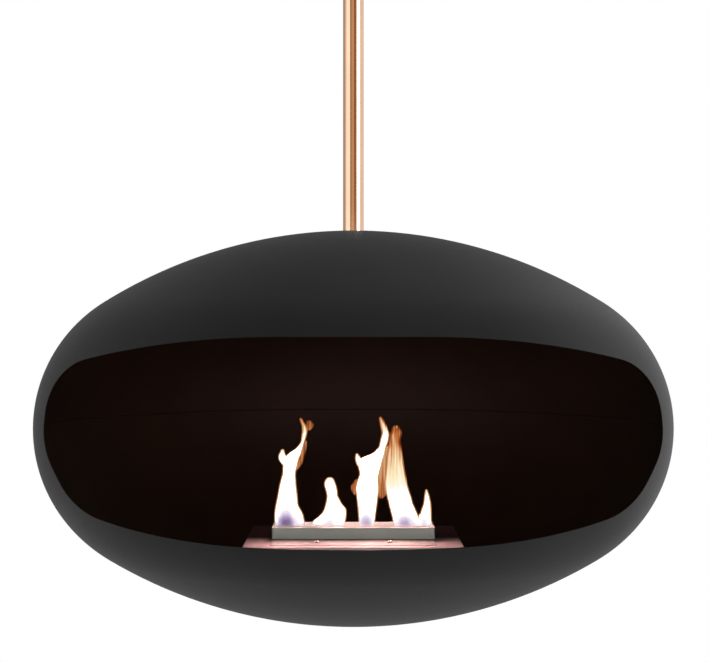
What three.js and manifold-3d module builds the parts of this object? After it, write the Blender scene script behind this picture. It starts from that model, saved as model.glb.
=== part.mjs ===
// A hanging fireplace: an oval body of two spun steel shells, hung from the ceiling on a straight pole.
// The body turns on a thrust bearing under its crown, and a lift-out fuel burner stands in its bowl.
// Millimetres, +Z up. The origin is the middle of the plate's face on the ceiling. The mouth faces -Y.

import * as THREE from "three";
import { mergeVertices } from "three/addons/utils/BufferGeometryUtils.js";
import Module from "manifold-3d";

const wasm = await Module();
wasm.setup();

// ---- Driving dimensions -------------------------------------------------------------------------

const seatGap = 0.3; // left between two pieces that touch
const roundFacets = 24; // sides of turned pieces
const smallFacets = 8; // sides of bolts, screws and their holes
const overcut = 5; // how far a cutting tool runs past what it cuts
const rootOverlap = 1; // how far a bolt's shank runs into its head before the two are joined

// Body: its section is an oval of a tight arc at the equator and a wide arc over crown and floor.
const bodyDiameter = 940;
const bodyHeight = 580;
const rimArcRadius = 216;
const bodySheet = 2.5;
const bodyFacets = 56;
const rimArcSteps = 6;
const crownArcSteps = 6;

// Mouth: a rounded outline cut straight back from the front, measured from the body's own outline.
const mouthSideMargin = 45;
const mouthTopMargin = 156.5;
const mouthBottomMargin = 163.5;
const mouthSideHeight = -15.5; // widest point, from the equator
const mouthShoulderInset = 200;
const mouthShoulderRadius = 1160;
const mouthTopCorner = { inset: 10, drop: 44, radius: 86 };
const mouthLowCorner = { inset: 51.5, rise: 28.5, radius: 96 };
const mouthSideRadius = 87;
const mouthArcSteps = 3;

// Pole and ceiling fixing.
const poleDrop = 900; // ceiling to the crown of the body
const poleDiameter = 31;
const poleWall = 2;
const poleTopGap = 10; // pole's upper end to the ceiling face
const plateDiameter = 150;
const plateThickness = 6;
const anchorCircle = 110;
const anchorHoleDiameter = 9;
const anchorCount = 4;
const socketWall = 5;
const socketLength = 34;
const crossBoltDiameter = 8;
const crossBoltLift = 15; // bolt axis above the socket's lower end
const crossBoltHead = { width: 13, height: 5.3 };
const crossBoltClearance = 0.4;

// Canopy over the ceiling plate, held by a collar with a set screw.
const canopySheet = 1.5;
const canopyGap = 3; // plate's edge to the canopy's wall
const canopyCeilingGap = 1;
const canopyFloorGap = 5; // socket's lower end to the canopy's floor
const canopyCornerRadius = 10;
const canopyCornerSteps = 4;
const clampWall = 8;
const clampHeight = 14;
const setScrewDiameter = 5;

// Swivel in the crown.
const hubDiameter = 160;
const hubDepth = 14; // crown to the hub's flat underside
const poleHoleClearance = 1;
const bushWall = 3.4;
const bushRunningGap = 0.2;
const bushFlange = { width: 7, thickness: 3 };
const studDiameter = 24;
const spigotPlugLength = 52;
const bearingDiameter = 42;
const raceThickness = 4;
const ballDiameter = 5.4;
const ballCount = 9;
const ballFacets = { around: 8, down: 6 };
const cageHeight = 3;
const cageLip = 1; // cage ring past the balls' track on each side
const raceBoreClearance = 0.5;
const washerThickness = 3;
const washerBrim = 1; // past the bearing's edge
const nutAcrossFlats = 36;
const nutHeight = 21;
const nutSlot = { width: 5, depth: 6 };
const splitPinDiameter = 4;
const splitPinEye = { radius: 3.5, wire: 1.4, wireFacets: 6 };
const splitPinOverhang = 3;
const studTail = 6; // stud below the nut

// Heat cover under the swivel.
const coverClearance = 12; // nut's corners to the cover's wall
const coverFloorGap = 8;
const coverSheet = 2;
const coverFlangeWidth = 13;
const coverScrewCount = 3;

// Screws of the heat cover and of the burner's collar.
const screwDiameter = 4;
const screwHead = { diameter: 7.4, topDiameter: 4.4, height: 2.4, edge: 0.8 };
const screwClearance = 0.3;
const coverScrewDepth = 5; // thread in the hub

// Burner, placed by its slot, which lies on the body's axis.
const burnerSheet = 2;
const trayAboveFloor = 119.3; // inside of the floor to the tray's top
const slotLength = 241; // outside the collar
const slotDepth = 70;
const collarHeight = 18.5;
const collarFootWidth = 57;
const collarScrewSpread = 106;
const collarScrewReach = 38; // collar's wall to its screws
const traySideMargin = 39;
const trayFrontMargin = 75;
const trayRearMargin = 104.5;
const traySkirt = 22;
const shutterRunningGap = 0.8;
const shutterSideGap = 1.5;
const shutterNose = 8; // how much of the open shutter still shows in the slot
const shutterLip = 12;
const shutterOverlap = 3;
const shutterHookRadius = 3;
const railLedge = 11;
const railTail = 20;
const tankWall = 1.5;
const tankDepth = 72;
const tankRim = 14;
const woolGap = 0.6;
const woolBelowRim = 10;

// Brackets that carry the tray in the bowl.
const bracketSheet = 3;
const bracketSideGap = 4; // tank's rim to the bracket
const bracketLedge = 14;
const bracketLength = 130;

// ---- Derived sizes ------------------------------------------------------------------------------

const bodyRadius = bodyDiameter / 2;
const halfHeight = bodyHeight / 2;
const rimArcCentre = bodyRadius - rimArcRadius; // from the axis
const crownArcRadius =
  (rimArcCentre ** 2 + halfHeight ** 2 - rimArcRadius ** 2) / (2 * (halfHeight - rimArcRadius));
const crownArcOffset = crownArcRadius - halfHeight; // its centre, past the equator
const arcJoint = Math.atan2(crownArcOffset, rimArcCentre); // angle where the two arcs meet

const crownZ = -poleDrop;
const equatorZ = crownZ - halfHeight;

const poleRadius = poleDiameter / 2;
const poleBore = poleRadius - poleWall;
const socketBore = poleRadius + seatGap;
const socketRadius = socketBore + socketWall;
const socketTop = -plateThickness - seatGap;
const socketBottom = socketTop - socketLength;
const crossBoltZ = socketBottom + crossBoltLift;
const canopyRadius = plateDiameter / 2 + canopyGap + canopySheet;
const canopyFloor = socketBottom - canopyFloorGap;
const clampTop = canopyFloor - canopySheet - seatGap;

// Swivel levels, from the crown downwards.
const hubRadius = hubDiameter / 2;
const bushRadius = poleRadius + bushRunningGap + bushWall;
const bushFlangeTop = -hubDepth - seatGap;
const bushFlangeBottom = bushFlangeTop - bushFlange.thickness;
const upperRaceTop = bushFlangeBottom - seatGap;
const ballTop = upperRaceTop - raceThickness - seatGap;
const lowerRaceTop = ballTop - ballDiameter - seatGap;
const washerTop = lowerRaceTop - raceThickness - seatGap;
const nutTop = washerTop - washerThickness - seatGap;
const nutBottom = nutTop - nutHeight;
const studBottom = nutBottom - studTail;
const studRadius = studDiameter / 2;
const raceBore = studRadius + raceBoreClearance;
const ballTrack = (raceBore + bearingDiameter / 2) / 2;
const nutCornerRadius = nutAcrossFlats / Math.sqrt(3);
const coverRadius = nutCornerRadius + coverClearance + coverSheet;
const coverFloor = studBottom - coverFloorGap;
const coverScrewCircle = coverRadius + coverFlangeWidth / 2;

// Burner levels and places, from the equator and the axis.
const trayTop = -(halfHeight - bodySheet) + trayAboveFloor;
const trayUnder = trayTop - burnerSheet;
const trayHalfWidth = slotLength / 2 + traySideMargin;
const trayFront = -slotDepth / 2 - trayFrontMargin;
const trayRear = slotDepth / 2 + trayRearMargin;
const openingHalfLength = slotLength / 2 - burnerSheet;
const openingHalfDepth = slotDepth / 2 - burnerSheet;
const collarBottom = trayTop + seatGap;
const shutterTop = trayUnder - shutterRunningGap;
const shutterBottom = shutterTop - burnerSheet;
const shutterHalfWidth = openingHalfLength + shutterOverlap;
const shutterFront = openingHalfDepth - shutterNose;
const shutterRear = shutterFront + 2 * openingHalfDepth + shutterOverlap;
const railWebInner = shutterHalfWidth + shutterSideGap;
const railLedgeTop = shutterBottom - seatGap;
const tankRimTop = railLedgeTop - burnerSheet - seatGap;
const tankHalfLength = openingHalfLength - shutterOverlap;
const tankHalfDepth = openingHalfDepth + tankWall;
const tankFloor = tankRimTop - tankDepth;
const bracketInner = tankHalfLength + tankRim + bracketSideGap;

// ---- Finishes -----------------------------------------------------------------------------------

function finish(color, roughness, metalness) {
  return new THREE.MeshStandardMaterial({ color, roughness, metalness });
}

const satinBlack = finish(0x2b2b2d, 0.62, 0.1);
const copper = finish(0xc98a5e, 0.18, 1);
const zincSteel = finish(0x9a9da0, 0.42, 1);
const groundSteel = finish(0xb9bcc0, 0.25, 1);
const bronze = finish(0xa77b3e, 0.4, 1);
const stainless = finish(0xa3a5a4, 0.32, 1);
const fibre = finish(0xd8d3c6, 0.95, 0);

// ---- Shapes -------------------------------------------------------------------------------------

// Turns an outline of [radius, height] pairs, listed anticlockwise, about the Z axis.
function turned(outline, facets = roundFacets) {
  const points = outline.map(([radius, height]) => new THREE.Vector2(radius, height));
  if (points[0].x > 0) points.push(points[0].clone());
  return new THREE.LatheGeometry(points, facets).rotateX(Math.PI / 2);
}

function ring(bore, radius, bottom, top, facets = roundFacets) {
  return turned([[radius, bottom], [radius, top], [bore, top], [bore, bottom]], facets);
}

function disc(radius, bottom, top, facets = roundFacets) {
  return turned([[0, bottom], [radius, bottom], [radius, top], [0, top]], facets);
}

function block([left, right], [front, rear], [bottom, top]) {
  return new THREE.BoxGeometry(right - left, rear - front, top - bottom)
    .translate((left + right) / 2, (front + rear) / 2, (bottom + top) / 2);
}

// A round bar along X.
function crossBar(radius, left, right, height, facets = smallFacets) {
  return new THREE.CylinderGeometry(radius, radius, right - left, facets)
    .rotateZ(Math.PI / 2)
    .translate((left + right) / 2, 0, height);
}

// A hexagon prism on the Z axis.
function hexagon(acrossFlats, bottom, top) {
  const corner = acrossFlats / Math.sqrt(3);
  return new THREE.CylinderGeometry(corner, corner, top - bottom, 6)
    .rotateX(Math.PI / 2)
    .translate(0, 0, (bottom + top) / 2);
}

// An outline in the X-Y plane, extruded along Z and then stood up, so that its Y becomes height
// and its thickness runs from front to rear.
function standing(shape, front, rear, curveSegments) {
  return new THREE.ExtrudeGeometry(shape, { depth: rear - front, bevelEnabled: false, curveSegments })
    .rotateX(Math.PI / 2)
    .translate(0, rear, 0);
}

function polygon(points) {
  return new THREE.Shape(points.map(([x, y]) => new THREE.Vector2(x, y)));
}

// A polygon whose corners {x, y, radius} are rounded, each arc ending before the next begins.
function roundedPolygon(corners) {
  const bends = corners.map((corner, i) => {
    const point = new THREE.Vector2(corner.x, corner.y);
    const toLast = new THREE.Vector2().copy(corners.at(i - 1)).sub(point);
    const toNext = new THREE.Vector2().copy(corners[(i + 1) % corners.length]).sub(point);
    const half = Math.acos(toLast.dot(toNext) / toLast.length() / toNext.length()) / 2;
    return { point, toLast, toNext, half, reach: corner.radius / Math.tan(half) };
  });
  const shape = new THREE.Shape();
  bends.forEach(({ point, toLast, toNext, half, reach }, i) => {
    const last = bends.at(i - 1);
    const next = bends[(i + 1) % bends.length];
    const fit = Math.min(1, toLast.length() / (last.reach + reach), toNext.length() / (reach + next.reach));
    const radius = reach * fit * Math.tan(half);
    const start = toLast.clone().setLength(reach * fit).add(point);
    const end = toNext.clone().setLength(reach * fit).add(point);
    const inward = toLast.clone().normalize().add(toNext.clone().normalize());
    const centre = inward.setLength(radius / Math.sin(half)).add(point);
    shape.absarc(centre.x, centre.y, radius, start.sub(centre).angle(), end.sub(centre).angle(), false);
  });
  return shape;
}

// ---- Cutting and joining ------------------------------------------------------------------------

function solidOf(geometry) {
  const bare = geometry.clone();
  bare.deleteAttribute("normal");
  bare.deleteAttribute("uv");
  const merged = mergeVertices(bare);
  return new wasm.Manifold(new wasm.Mesh({
    numProp: 3,
    vertProperties: merged.getAttribute("position").array,
    triVerts: new Uint32Array(merged.index.array),
  }));
}

function geometryOf(solid) {
  const mesh = solid.getMesh();
  return new THREE.BufferGeometry()
    .setAttribute("position", new THREE.BufferAttribute(mesh.vertProperties, 3))
    .setIndex(new THREE.BufferAttribute(mesh.triVerts, 1));
}

function cut(geometry, ...tools) {
  return geometryOf(tools.reduce((rest, tool) => rest.subtract(solidOf(tool)), solidOf(geometry)));
}

function join(geometry, ...others) {
  return geometryOf(others.reduce((whole, other) => whole.add(solidOf(other)), solidOf(geometry)));
}

function keepInside(geometry, space) {
  return geometryOf(solidOf(geometry).intersect(solidOf(space)));
}

// Copies of a shape set out evenly on a circle about the Z axis.
function around(circleRadius, count, makeShape, startAngle = 0) {
  return Array.from({ length: count }, (_, i) =>
    makeShape().translate(circleRadius, 0, 0).rotateZ(startAngle + (i * 2 * Math.PI) / count));
}

// ---- Body shells --------------------------------------------------------------------------------

function crownHeight(radius, inset) {
  return Math.sqrt((crownArcRadius - inset) ** 2 - radius ** 2) - crownArcOffset;
}

// The oval's upper half, inset from the outer surface, as [radius, height] from equator to crown.
// Between the hub's edge and the crown it runs straight, so that the hub can lie against it.
function halfOval(inset, startHeight, endRadius) {
  const rim = rimArcRadius - inset;
  const crown = crownArcRadius - inset;
  const start = Math.asin(startHeight / rim);
  const points = [];
  for (let i = 0; i <= rimArcSteps; i++) {
    const angle = THREE.MathUtils.lerp(start, arcJoint, i / rimArcSteps);
    points.push([rimArcCentre + rim * Math.cos(angle), rim * Math.sin(angle)]);
  }
  const end = Math.acos(hubRadius / crown);
  for (let i = 1; i <= crownArcSteps; i++) {
    const angle = THREE.MathUtils.lerp(arcJoint, end, i / crownArcSteps);
    points.push([crown * Math.cos(angle), crown * Math.sin(angle) - crownArcOffset]);
  }
  points.push([endRadius, crownHeight(endRadius, inset)]);
  return points;
}

function upsideDown(points) {
  return points.map(([radius, height]) => [radius, -height]).reverse();
}

// The space inside the shells, kept a seat gap away from them.
function bowlSpace() {
  const upper = halfOval(bodySheet + seatGap, 0, 0);
  return turned([...upsideDown(upper).slice(0, -1), ...upper], bodyFacets);
}

// The mouth's cutting tool, as wide as the mouth and as deep as the body's front half.
function mouthTool() {
  const side = bodyRadius - mouthSideMargin;
  const top = halfHeight - mouthTopMargin;
  const bottom = mouthBottomMargin - halfHeight;
  const right = [
    { x: side - mouthShoulderInset, y: bottom, radius: mouthShoulderRadius },
    { x: side - mouthLowCorner.inset, y: bottom + mouthLowCorner.rise, radius: mouthLowCorner.radius },
    { x: side, y: mouthSideHeight, radius: mouthSideRadius },
    { x: side - mouthTopCorner.inset, y: top - mouthTopCorner.drop, radius: mouthTopCorner.radius },
    { x: side - mouthShoulderInset, y: top, radius: mouthShoulderRadius },
  ];
  const left = right.map((corner) => ({ ...corner, x: -corner.x })).reverse();
  return standing(roundedPolygon([...right, ...left]), -bodyRadius - overcut, 0, mouthArcSteps);
}

function upperShell() {
  const poleHole = poleRadius + poleHoleClearance;
  const outer = halfOval(0, seatGap / 2, poleHole);
  const inner = halfOval(bodySheet, seatGap / 2, poleHole);
  return cut(turned([...outer, ...inner.reverse()], bodyFacets), mouthTool());
}

function lowerShell() {
  const outer = upsideDown(halfOval(0, seatGap / 2, 0));
  const inner = upsideDown(halfOval(bodySheet, seatGap / 2, 0)).reverse();
  return cut(turned([...outer, ...inner], bodyFacets), mouthTool());
}

// ---- Ceiling fixing and pole, from the ceiling face ---------------------------------------------

function ceilingPlate() {
  const holes = around(anchorCircle / 2, anchorCount, () =>
    disc(anchorHoleDiameter / 2, -plateThickness - overcut, overcut, smallFacets), Math.PI / anchorCount);
  return cut(disc(plateDiameter / 2, -plateThickness, 0), ...holes);
}

function crossHole(height) {
  const radius = crossBoltDiameter / 2 + crossBoltClearance;
  return crossBar(radius, -socketRadius - overcut, socketRadius + overcut, height);
}

function ceilingSocket() {
  return cut(ring(socketBore, socketRadius, socketBottom, socketTop), crossHole(crossBoltZ));
}

function crossBolt() {
  const faceX = socketRadius + seatGap;
  const tip = -faceX - crossBoltHead.height - crossBoltDiameter / 2;
  const head = hexagon(crossBoltHead.width, faceX, faceX + crossBoltHead.height)
    .rotateY(Math.PI / 2)
    .translate(0, 0, crossBoltZ);
  return join(crossBar(crossBoltDiameter / 2, tip, faceX + rootOverlap, crossBoltZ), head);
}

function crossNut() {
  const faceX = socketRadius + seatGap;
  const nut = hexagon(crossBoltHead.width, -faceX - crossBoltHead.height, -faceX)
    .rotateY(Math.PI / 2)
    .translate(0, 0, crossBoltZ);
  const thread = crossBoltDiameter / 2 + seatGap;
  return cut(nut, crossBar(thread, -faceX - crossBoltHead.height - overcut, 0, crossBoltZ));
}

function poleTube() {
  const bottom = crownZ + bushFlangeBottom;
  return cut(ring(poleBore, poleRadius, bottom, -poleTopGap), crossHole(crossBoltZ));
}

// ---- Canopy, from the ceiling face --------------------------------------------------------------

// A quarter of a round corner as [radius, height] pairs, from the wall to the floor.
function canopyCorner(radius, inset) {
  const wall = canopyRadius - canopyCornerRadius;
  const floor = canopyFloor - canopySheet + canopyCornerRadius;
  return Array.from({ length: canopyCornerSteps + 1 }, (_, i) => {
    const angle = (i / canopyCornerSteps) * (Math.PI / 2);
    return [wall + (radius - inset) * Math.cos(angle), floor - (radius - inset) * Math.sin(angle)];
  });
}

function canopyCover() {
  const hole = poleRadius + seatGap;
  const outside = [
    [canopyRadius, -canopyCeilingGap],
    ...canopyCorner(canopyCornerRadius, 0),
    [hole, canopyFloor - canopySheet],
  ];
  const inside = [
    [canopyRadius - canopySheet, -canopyCeilingGap],
    ...canopyCorner(canopyCornerRadius, canopySheet),
    [hole, canopyFloor],
  ];
  return turned([...outside.reverse(), ...inside]);
}

function canopyClamp() {
  const bore = poleRadius + seatGap;
  const middle = clampTop - clampHeight / 2;
  const thread = crossBar(setScrewDiameter / 2 + seatGap, 0, bore + clampWall + overcut, middle);
  return cut(ring(bore, bore + clampWall, clampTop - clampHeight, clampTop), thread);
}

function clampScrew() {
  const tip = poleRadius + seatGap;
  return crossBar(setScrewDiameter / 2, tip, tip + clampWall, clampTop - clampHeight / 2);
}

// ---- Swivel, from the crown ---------------------------------------------------------------------

function coverScrewHoles(bottom, top) {
  const radius = screwDiameter / 2 + screwClearance;
  return around(coverScrewCircle, coverScrewCount, () => disc(radius, bottom, top, smallFacets));
}

function hubPlate() {
  const gap = bodySheet + seatGap;
  const bore = bushRadius + seatGap;
  const edgeTop = crownHeight(hubRadius, gap) - halfHeight;
  const middle = crownHeight(0, gap) - halfHeight;
  const boreTop = THREE.MathUtils.lerp(middle, edgeTop, bore / hubRadius);
  const plate = turned([
    [hubRadius, -hubDepth],
    [hubRadius, edgeTop],
    [bore, boreTop],
    [bore, -hubDepth],
  ]);
  return cut(plate, ...coverScrewHoles(-hubDepth - overcut, -hubDepth + coverScrewDepth + seatGap));
}

function hubBush() {
  const bore = poleRadius + bushRunningGap;
  const top = crownHeight(bushRadius, bodySheet + 2 * seatGap) - halfHeight;
  const flangeRadius = bushRadius + bushFlange.width;
  return turned([
    [flangeRadius, bushFlangeBottom],
    [flangeRadius, bushFlangeTop],
    [bushRadius, bushFlangeTop],
    [bushRadius, top],
    [bore, top],
    [bore, bushFlangeBottom],
  ]);
}

function poleSpigot() {
  const plug = poleBore - seatGap;
  return turned([
    [0, studBottom],
    [studRadius, studBottom],
    [studRadius, bushFlangeBottom],
    [plug, bushFlangeBottom],
    [plug, bushFlangeBottom + spigotPlugLength],
    [0, bushFlangeBottom + spigotPlugLength],
  ]);
}

function race(top) {
  return ring(raceBore, bearingDiameter / 2, top - raceThickness, top);
}

function ballCage() {
  const middle = ballTop - ballDiameter / 2;
  const reach = bearingDiameter / 2 - ballTrack - cageLip;
  const cage = ring(ballTrack - reach, ballTrack + reach, middle - cageHeight / 2, middle + cageHeight / 2);
  const balls = around(ballTrack, ballCount, () =>
    new THREE.SphereGeometry(ballDiameter / 2, ballFacets.around, ballFacets.down)
      .rotateX(Math.PI / 2)
      .translate(0, 0, middle));
  return join(cage, ...balls);
}

function thrustWasher() {
  return ring(studRadius + seatGap, bearingDiameter / 2 + washerBrim, washerTop - washerThickness, washerTop);
}

function castleNut() {
  const slots = Array.from({ length: 3 }, (_, i) =>
    block([-nutAcrossFlats, nutAcrossFlats], [-nutSlot.width / 2, nutSlot.width / 2],
      [nutBottom - overcut, nutBottom + nutSlot.depth]).rotateZ((i * Math.PI) / 3));
  const thread = disc(studRadius + seatGap, nutBottom - overcut, nutTop + overcut);
  return cut(hexagon(nutAcrossFlats, nutBottom, nutTop), thread, ...slots);
}

const splitPinZ = nutBottom + nutSlot.depth / 2;

function splitPin() {
  const end = nutCornerRadius + splitPinOverhang;
  const { radius, wire, wireFacets } = splitPinEye;
  const eye = new THREE.TorusGeometry(radius, wire, wireFacets, smallFacets)
    .rotateX(Math.PI / 2)
    .translate(end + radius, 0, splitPinZ);
  return join(crossBar(splitPinDiameter / 2, -end, end, splitPinZ), eye);
}

function drilledSpigot() {
  const hole = splitPinDiameter / 2 + seatGap;
  return cut(poleSpigot(), crossBar(hole, -studDiameter, studDiameter, splitPinZ));
}

function heatCover() {
  const flangeTop = -hubDepth - seatGap;
  const flangeRadius = coverRadius + coverFlangeWidth;
  const cover = turned([
    [0, coverFloor - coverSheet],
    [coverRadius, coverFloor - coverSheet],
    [coverRadius, flangeTop - coverSheet],
    [flangeRadius, flangeTop - coverSheet],
    [flangeRadius, flangeTop],
    [coverRadius - coverSheet, flangeTop],
    [coverRadius - coverSheet, coverFloor],
    [0, coverFloor],
  ]);
  return cut(cover, ...coverScrewHoles(flangeTop - overcut - coverSheet, flangeTop + overcut));
}

// A round-headed screw on the Z axis, its head on a face at height 0 and its shank above it.
function screw(shankLength) {
  const head = screwHead.diameter / 2;
  const shank = screwDiameter / 2;
  return turned([
    [0, -seatGap - screwHead.height],
    [screwHead.topDiameter / 2, -seatGap - screwHead.height],
    [head, -seatGap - screwHead.edge],
    [head, -seatGap],
    [shank, -seatGap],
    [shank, shankLength],
    [0, shankLength],
  ], smallFacets);
}

function coverScrew(i) {
  const under = -hubDepth - seatGap - coverSheet;
  return screw(coverSheet + coverScrewDepth)
    .translate(coverScrewCircle, 0, under)
    .rotateZ((i * 2 * Math.PI) / coverScrewCount);
}

// ---- Burner, from the equator -------------------------------------------------------------------

const collarScrewPlaces = [-1, 1].flatMap((row) =>
  [-1, 1].map((side) => [(side * collarScrewSpread) / 2, row * (slotDepth / 2 + collarScrewReach)]));

function collarScrewHoles() {
  const radius = screwDiameter / 2 + screwClearance;
  return collarScrewPlaces.map(([x, y]) =>
    disc(radius, trayUnder - overcut, collarBottom + burnerSheet + overcut, smallFacets).translate(x, y, 0));
}

function slotOpening(bottom, top) {
  return block([-openingHalfLength, openingHalfLength], [-openingHalfDepth, openingHalfDepth], [bottom, top]);
}

function burnerTray() {
  const skirtBottom = trayTop - traySkirt;
  const outside = block([-trayHalfWidth, trayHalfWidth], [trayFront, trayRear], [skirtBottom, trayTop]);
  const inside = block(
    [burnerSheet - trayHalfWidth, trayHalfWidth - burnerSheet],
    [trayFront + burnerSheet, trayRear - burnerSheet],
    [skirtBottom - overcut, trayUnder],
  );
  return cut(outside, inside, slotOpening(trayUnder - overcut, trayTop + overcut), ...collarScrewHoles());
}

function slotCollar() {
  const top = collarBottom + collarHeight;
  const footTop = collarBottom + burnerSheet;
  const footReach = slotDepth / 2 + collarFootWidth;
  const length = [-slotLength / 2, slotLength / 2];
  const walls = block(length, [-slotDepth / 2, slotDepth / 2], [collarBottom, top]);
  const foot = block(length, [-footReach, footReach], [collarBottom, footTop]);
  return cut(join(walls, foot), slotOpening(collarBottom - overcut, top + overcut), ...collarScrewHoles());
}

function collarScrew([x, y]) {
  return screw(collarBottom + burnerSheet - trayUnder)
    .rotateX(Math.PI)
    .translate(x, y, collarBottom + burnerSheet);
}

// The shutter's rail on the side given by -1 or 1: a web under the tray and a ledge under the shutter.
function shutterRail(side) {
  const webOuter = railWebInner + burnerSheet;
  const ledgeInner = railWebInner - railLedge;
  const section = polygon([
    [side * ledgeInner, railLedgeTop - burnerSheet],
    [side * webOuter, railLedgeTop - burnerSheet],
    [side * webOuter, trayUnder - seatGap],
    [side * railWebInner, trayUnder - seatGap],
    [side * railWebInner, railLedgeTop],
    [side * ledgeInner, railLedgeTop],
  ]);
  return standing(section, -slotDepth / 2, shutterRear + railTail, 1);
}

function shutterPlate() {
  const plate = block([-shutterHalfWidth, shutterHalfWidth], [shutterFront, shutterRear],
    [shutterBottom, shutterTop]);
  const lipHalf = openingHalfLength - shutterSideGap;
  const lip = block([-lipHalf, lipHalf], [shutterFront, shutterFront + burnerSheet],
    [shutterBottom, shutterTop + shutterLip]);
  const hookHeight = (shutterTop + shutterLip + trayTop) / 2;
  const hook = new THREE.CylinderGeometry(shutterHookRadius, shutterHookRadius, 2 * overcut, smallFacets)
    .translate(0, shutterFront, hookHeight);
  return cut(join(plate, lip), hook);
}

function fuelTank() {
  const rimBottom = tankRimTop - tankWall;
  const rim = block([-tankHalfLength - tankRim, tankHalfLength + tankRim],
    [-tankHalfDepth - tankRim, tankHalfDepth + tankRim], [rimBottom, tankRimTop]);
  const walls = block([-tankHalfLength, tankHalfLength], [-tankHalfDepth, tankHalfDepth],
    [tankFloor, tankRimTop]);
  const inside = block([tankWall - tankHalfLength, tankHalfLength - tankWall],
    [tankWall - tankHalfDepth, tankHalfDepth - tankWall], [tankFloor + tankWall, tankRimTop + overcut]);
  return cut(join(rim, walls), inside);
}

function fuelWool() {
  const halfLength = tankHalfLength - tankWall - woolGap;
  const halfDepth = tankHalfDepth - tankWall - woolGap;
  return block([-halfLength, halfLength], [-halfDepth, halfDepth],
    [tankFloor + tankWall + woolGap, tankRimTop - woolBelowRim]);
}

// The bracket on the side given by -1 or 1: a wall on the floor of the bowl with a ledge for the tray.
function trayBracket(side) {
  const ledgeTop = trayUnder - seatGap;
  const section = polygon([
    [side * bracketInner, -halfHeight],
    [side * (bracketInner + bracketSheet), -halfHeight],
    [side * (bracketInner + bracketSheet), ledgeTop - bracketSheet],
    [side * (bracketInner + bracketLedge), ledgeTop - bracketSheet],
    [side * (bracketInner + bracketLedge), ledgeTop],
    [side * bracketInner, ledgeTop],
  ]);
  const front = (trayFront + trayRear - bracketLength) / 2;
  return keepInside(standing(section, front, front + bracketLength, 1), bowlSpace());
}

// ---- Assembly -----------------------------------------------------------------------------------

function piece(name, geometry, material) {
  const mesh = new THREE.Mesh(geometry, material);
  mesh.name = name;
  return mesh;
}

const ceilingGroup = new THREE.Group();
ceilingGroup.add(
  piece("ceiling_plate", ceilingPlate(), zincSteel),
  piece("ceiling_socket", ceilingSocket(), zincSteel),
  piece("cross_bolt", crossBolt(), groundSteel),
  piece("cross_nut", crossNut(), groundSteel),
  piece("pole_tube", poleTube(), copper),
  piece("canopy_cover", canopyCover(), copper),
  piece("canopy_clamp", canopyClamp(), copper),
  piece("clamp_screw", clampScrew(), groundSteel),
);

const swivelGroup = new THREE.Group();
swivelGroup.position.z = crownZ;
swivelGroup.add(
  piece("pole_spigot", drilledSpigot(), groundSteel),
  piece("hub_plate", hubPlate(), zincSteel),
  piece("hub_bush", hubBush(), bronze),
  piece("upper_race", race(upperRaceTop), groundSteel),
  piece("ball_cage", ballCage(), bronze),
  piece("lower_race", race(lowerRaceTop), groundSteel),
  piece("thrust_washer", thrustWasher(), groundSteel),
  piece("castle_nut", castleNut(), zincSteel),
  piece("split_pin", splitPin(), groundSteel),
  piece("heat_cover", heatCover(), satinBlack),
);
for (let i = 0; i < coverScrewCount; i++) {
  swivelGroup.add(piece(`cover_screw_${i + 1}`, coverScrew(i), groundSteel));
}

const bodyGroup = new THREE.Group();
bodyGroup.position.z = equatorZ;
bodyGroup.add(
  piece("upper_shell", upperShell(), satinBlack),
  piece("lower_shell", lowerShell(), satinBlack),
  piece("tray_bracket_left", trayBracket(-1), satinBlack),
  piece("tray_bracket_right", trayBracket(1), satinBlack),
  piece("burner_tray", burnerTray(), stainless),
  piece("slot_collar", slotCollar(), stainless),
  piece("shutter_rail_left", shutterRail(-1), stainless),
  piece("shutter_rail_right", shutterRail(1), stainless),
  piece("shutter_plate", shutterPlate(), stainless),
  piece("fuel_tank", fuelTank(), stainless),
  piece("fuel_wool", fuelWool(), fibre),
);
collarScrewPlaces.forEach((place, i) => {
  bodyGroup.add(piece(`collar_screw_${i + 1}`, collarScrew(place), groundSteel));
});

const fireplace = new THREE.Group();
fireplace.add(ceilingGroup, swivelGroup, bodyGroup);

export default fireplace;
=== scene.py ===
"""A hanging fireplace: an oval body of spun steel on a copper pole, with a lift-out fuel burner.

Lengths are in metres. The origin is the middle of the ceiling plate's upper face, +Z is up and the
mouth faces -Y. Every piece is modelled where it stands, so its object stays at the origin.
"""

import math

import bmesh
import bpy
from bpy.props import FloatProperty, FloatVectorProperty, IntProperty, PointerProperty
from mathutils import Matrix, Vector, noise


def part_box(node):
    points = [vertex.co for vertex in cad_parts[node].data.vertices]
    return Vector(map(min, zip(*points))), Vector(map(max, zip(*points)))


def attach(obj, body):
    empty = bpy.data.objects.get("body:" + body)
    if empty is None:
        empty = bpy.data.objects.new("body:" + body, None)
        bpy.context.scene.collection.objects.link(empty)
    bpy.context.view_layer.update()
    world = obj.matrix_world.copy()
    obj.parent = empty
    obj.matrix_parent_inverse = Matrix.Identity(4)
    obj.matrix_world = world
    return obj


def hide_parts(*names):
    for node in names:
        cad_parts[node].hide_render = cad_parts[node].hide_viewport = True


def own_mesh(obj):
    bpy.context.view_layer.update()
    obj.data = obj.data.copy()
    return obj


bl_info = {
    "name": "Hanging Fireplace",
    "version": (1, 0, 0),
    "blender": (4, 5, 0),
    "location": "View3D > Sidebar > Fireplace",
    "description": "Models a hanging fireplace round its packed frame",
    "category": "Add Mesh",
}

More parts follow.
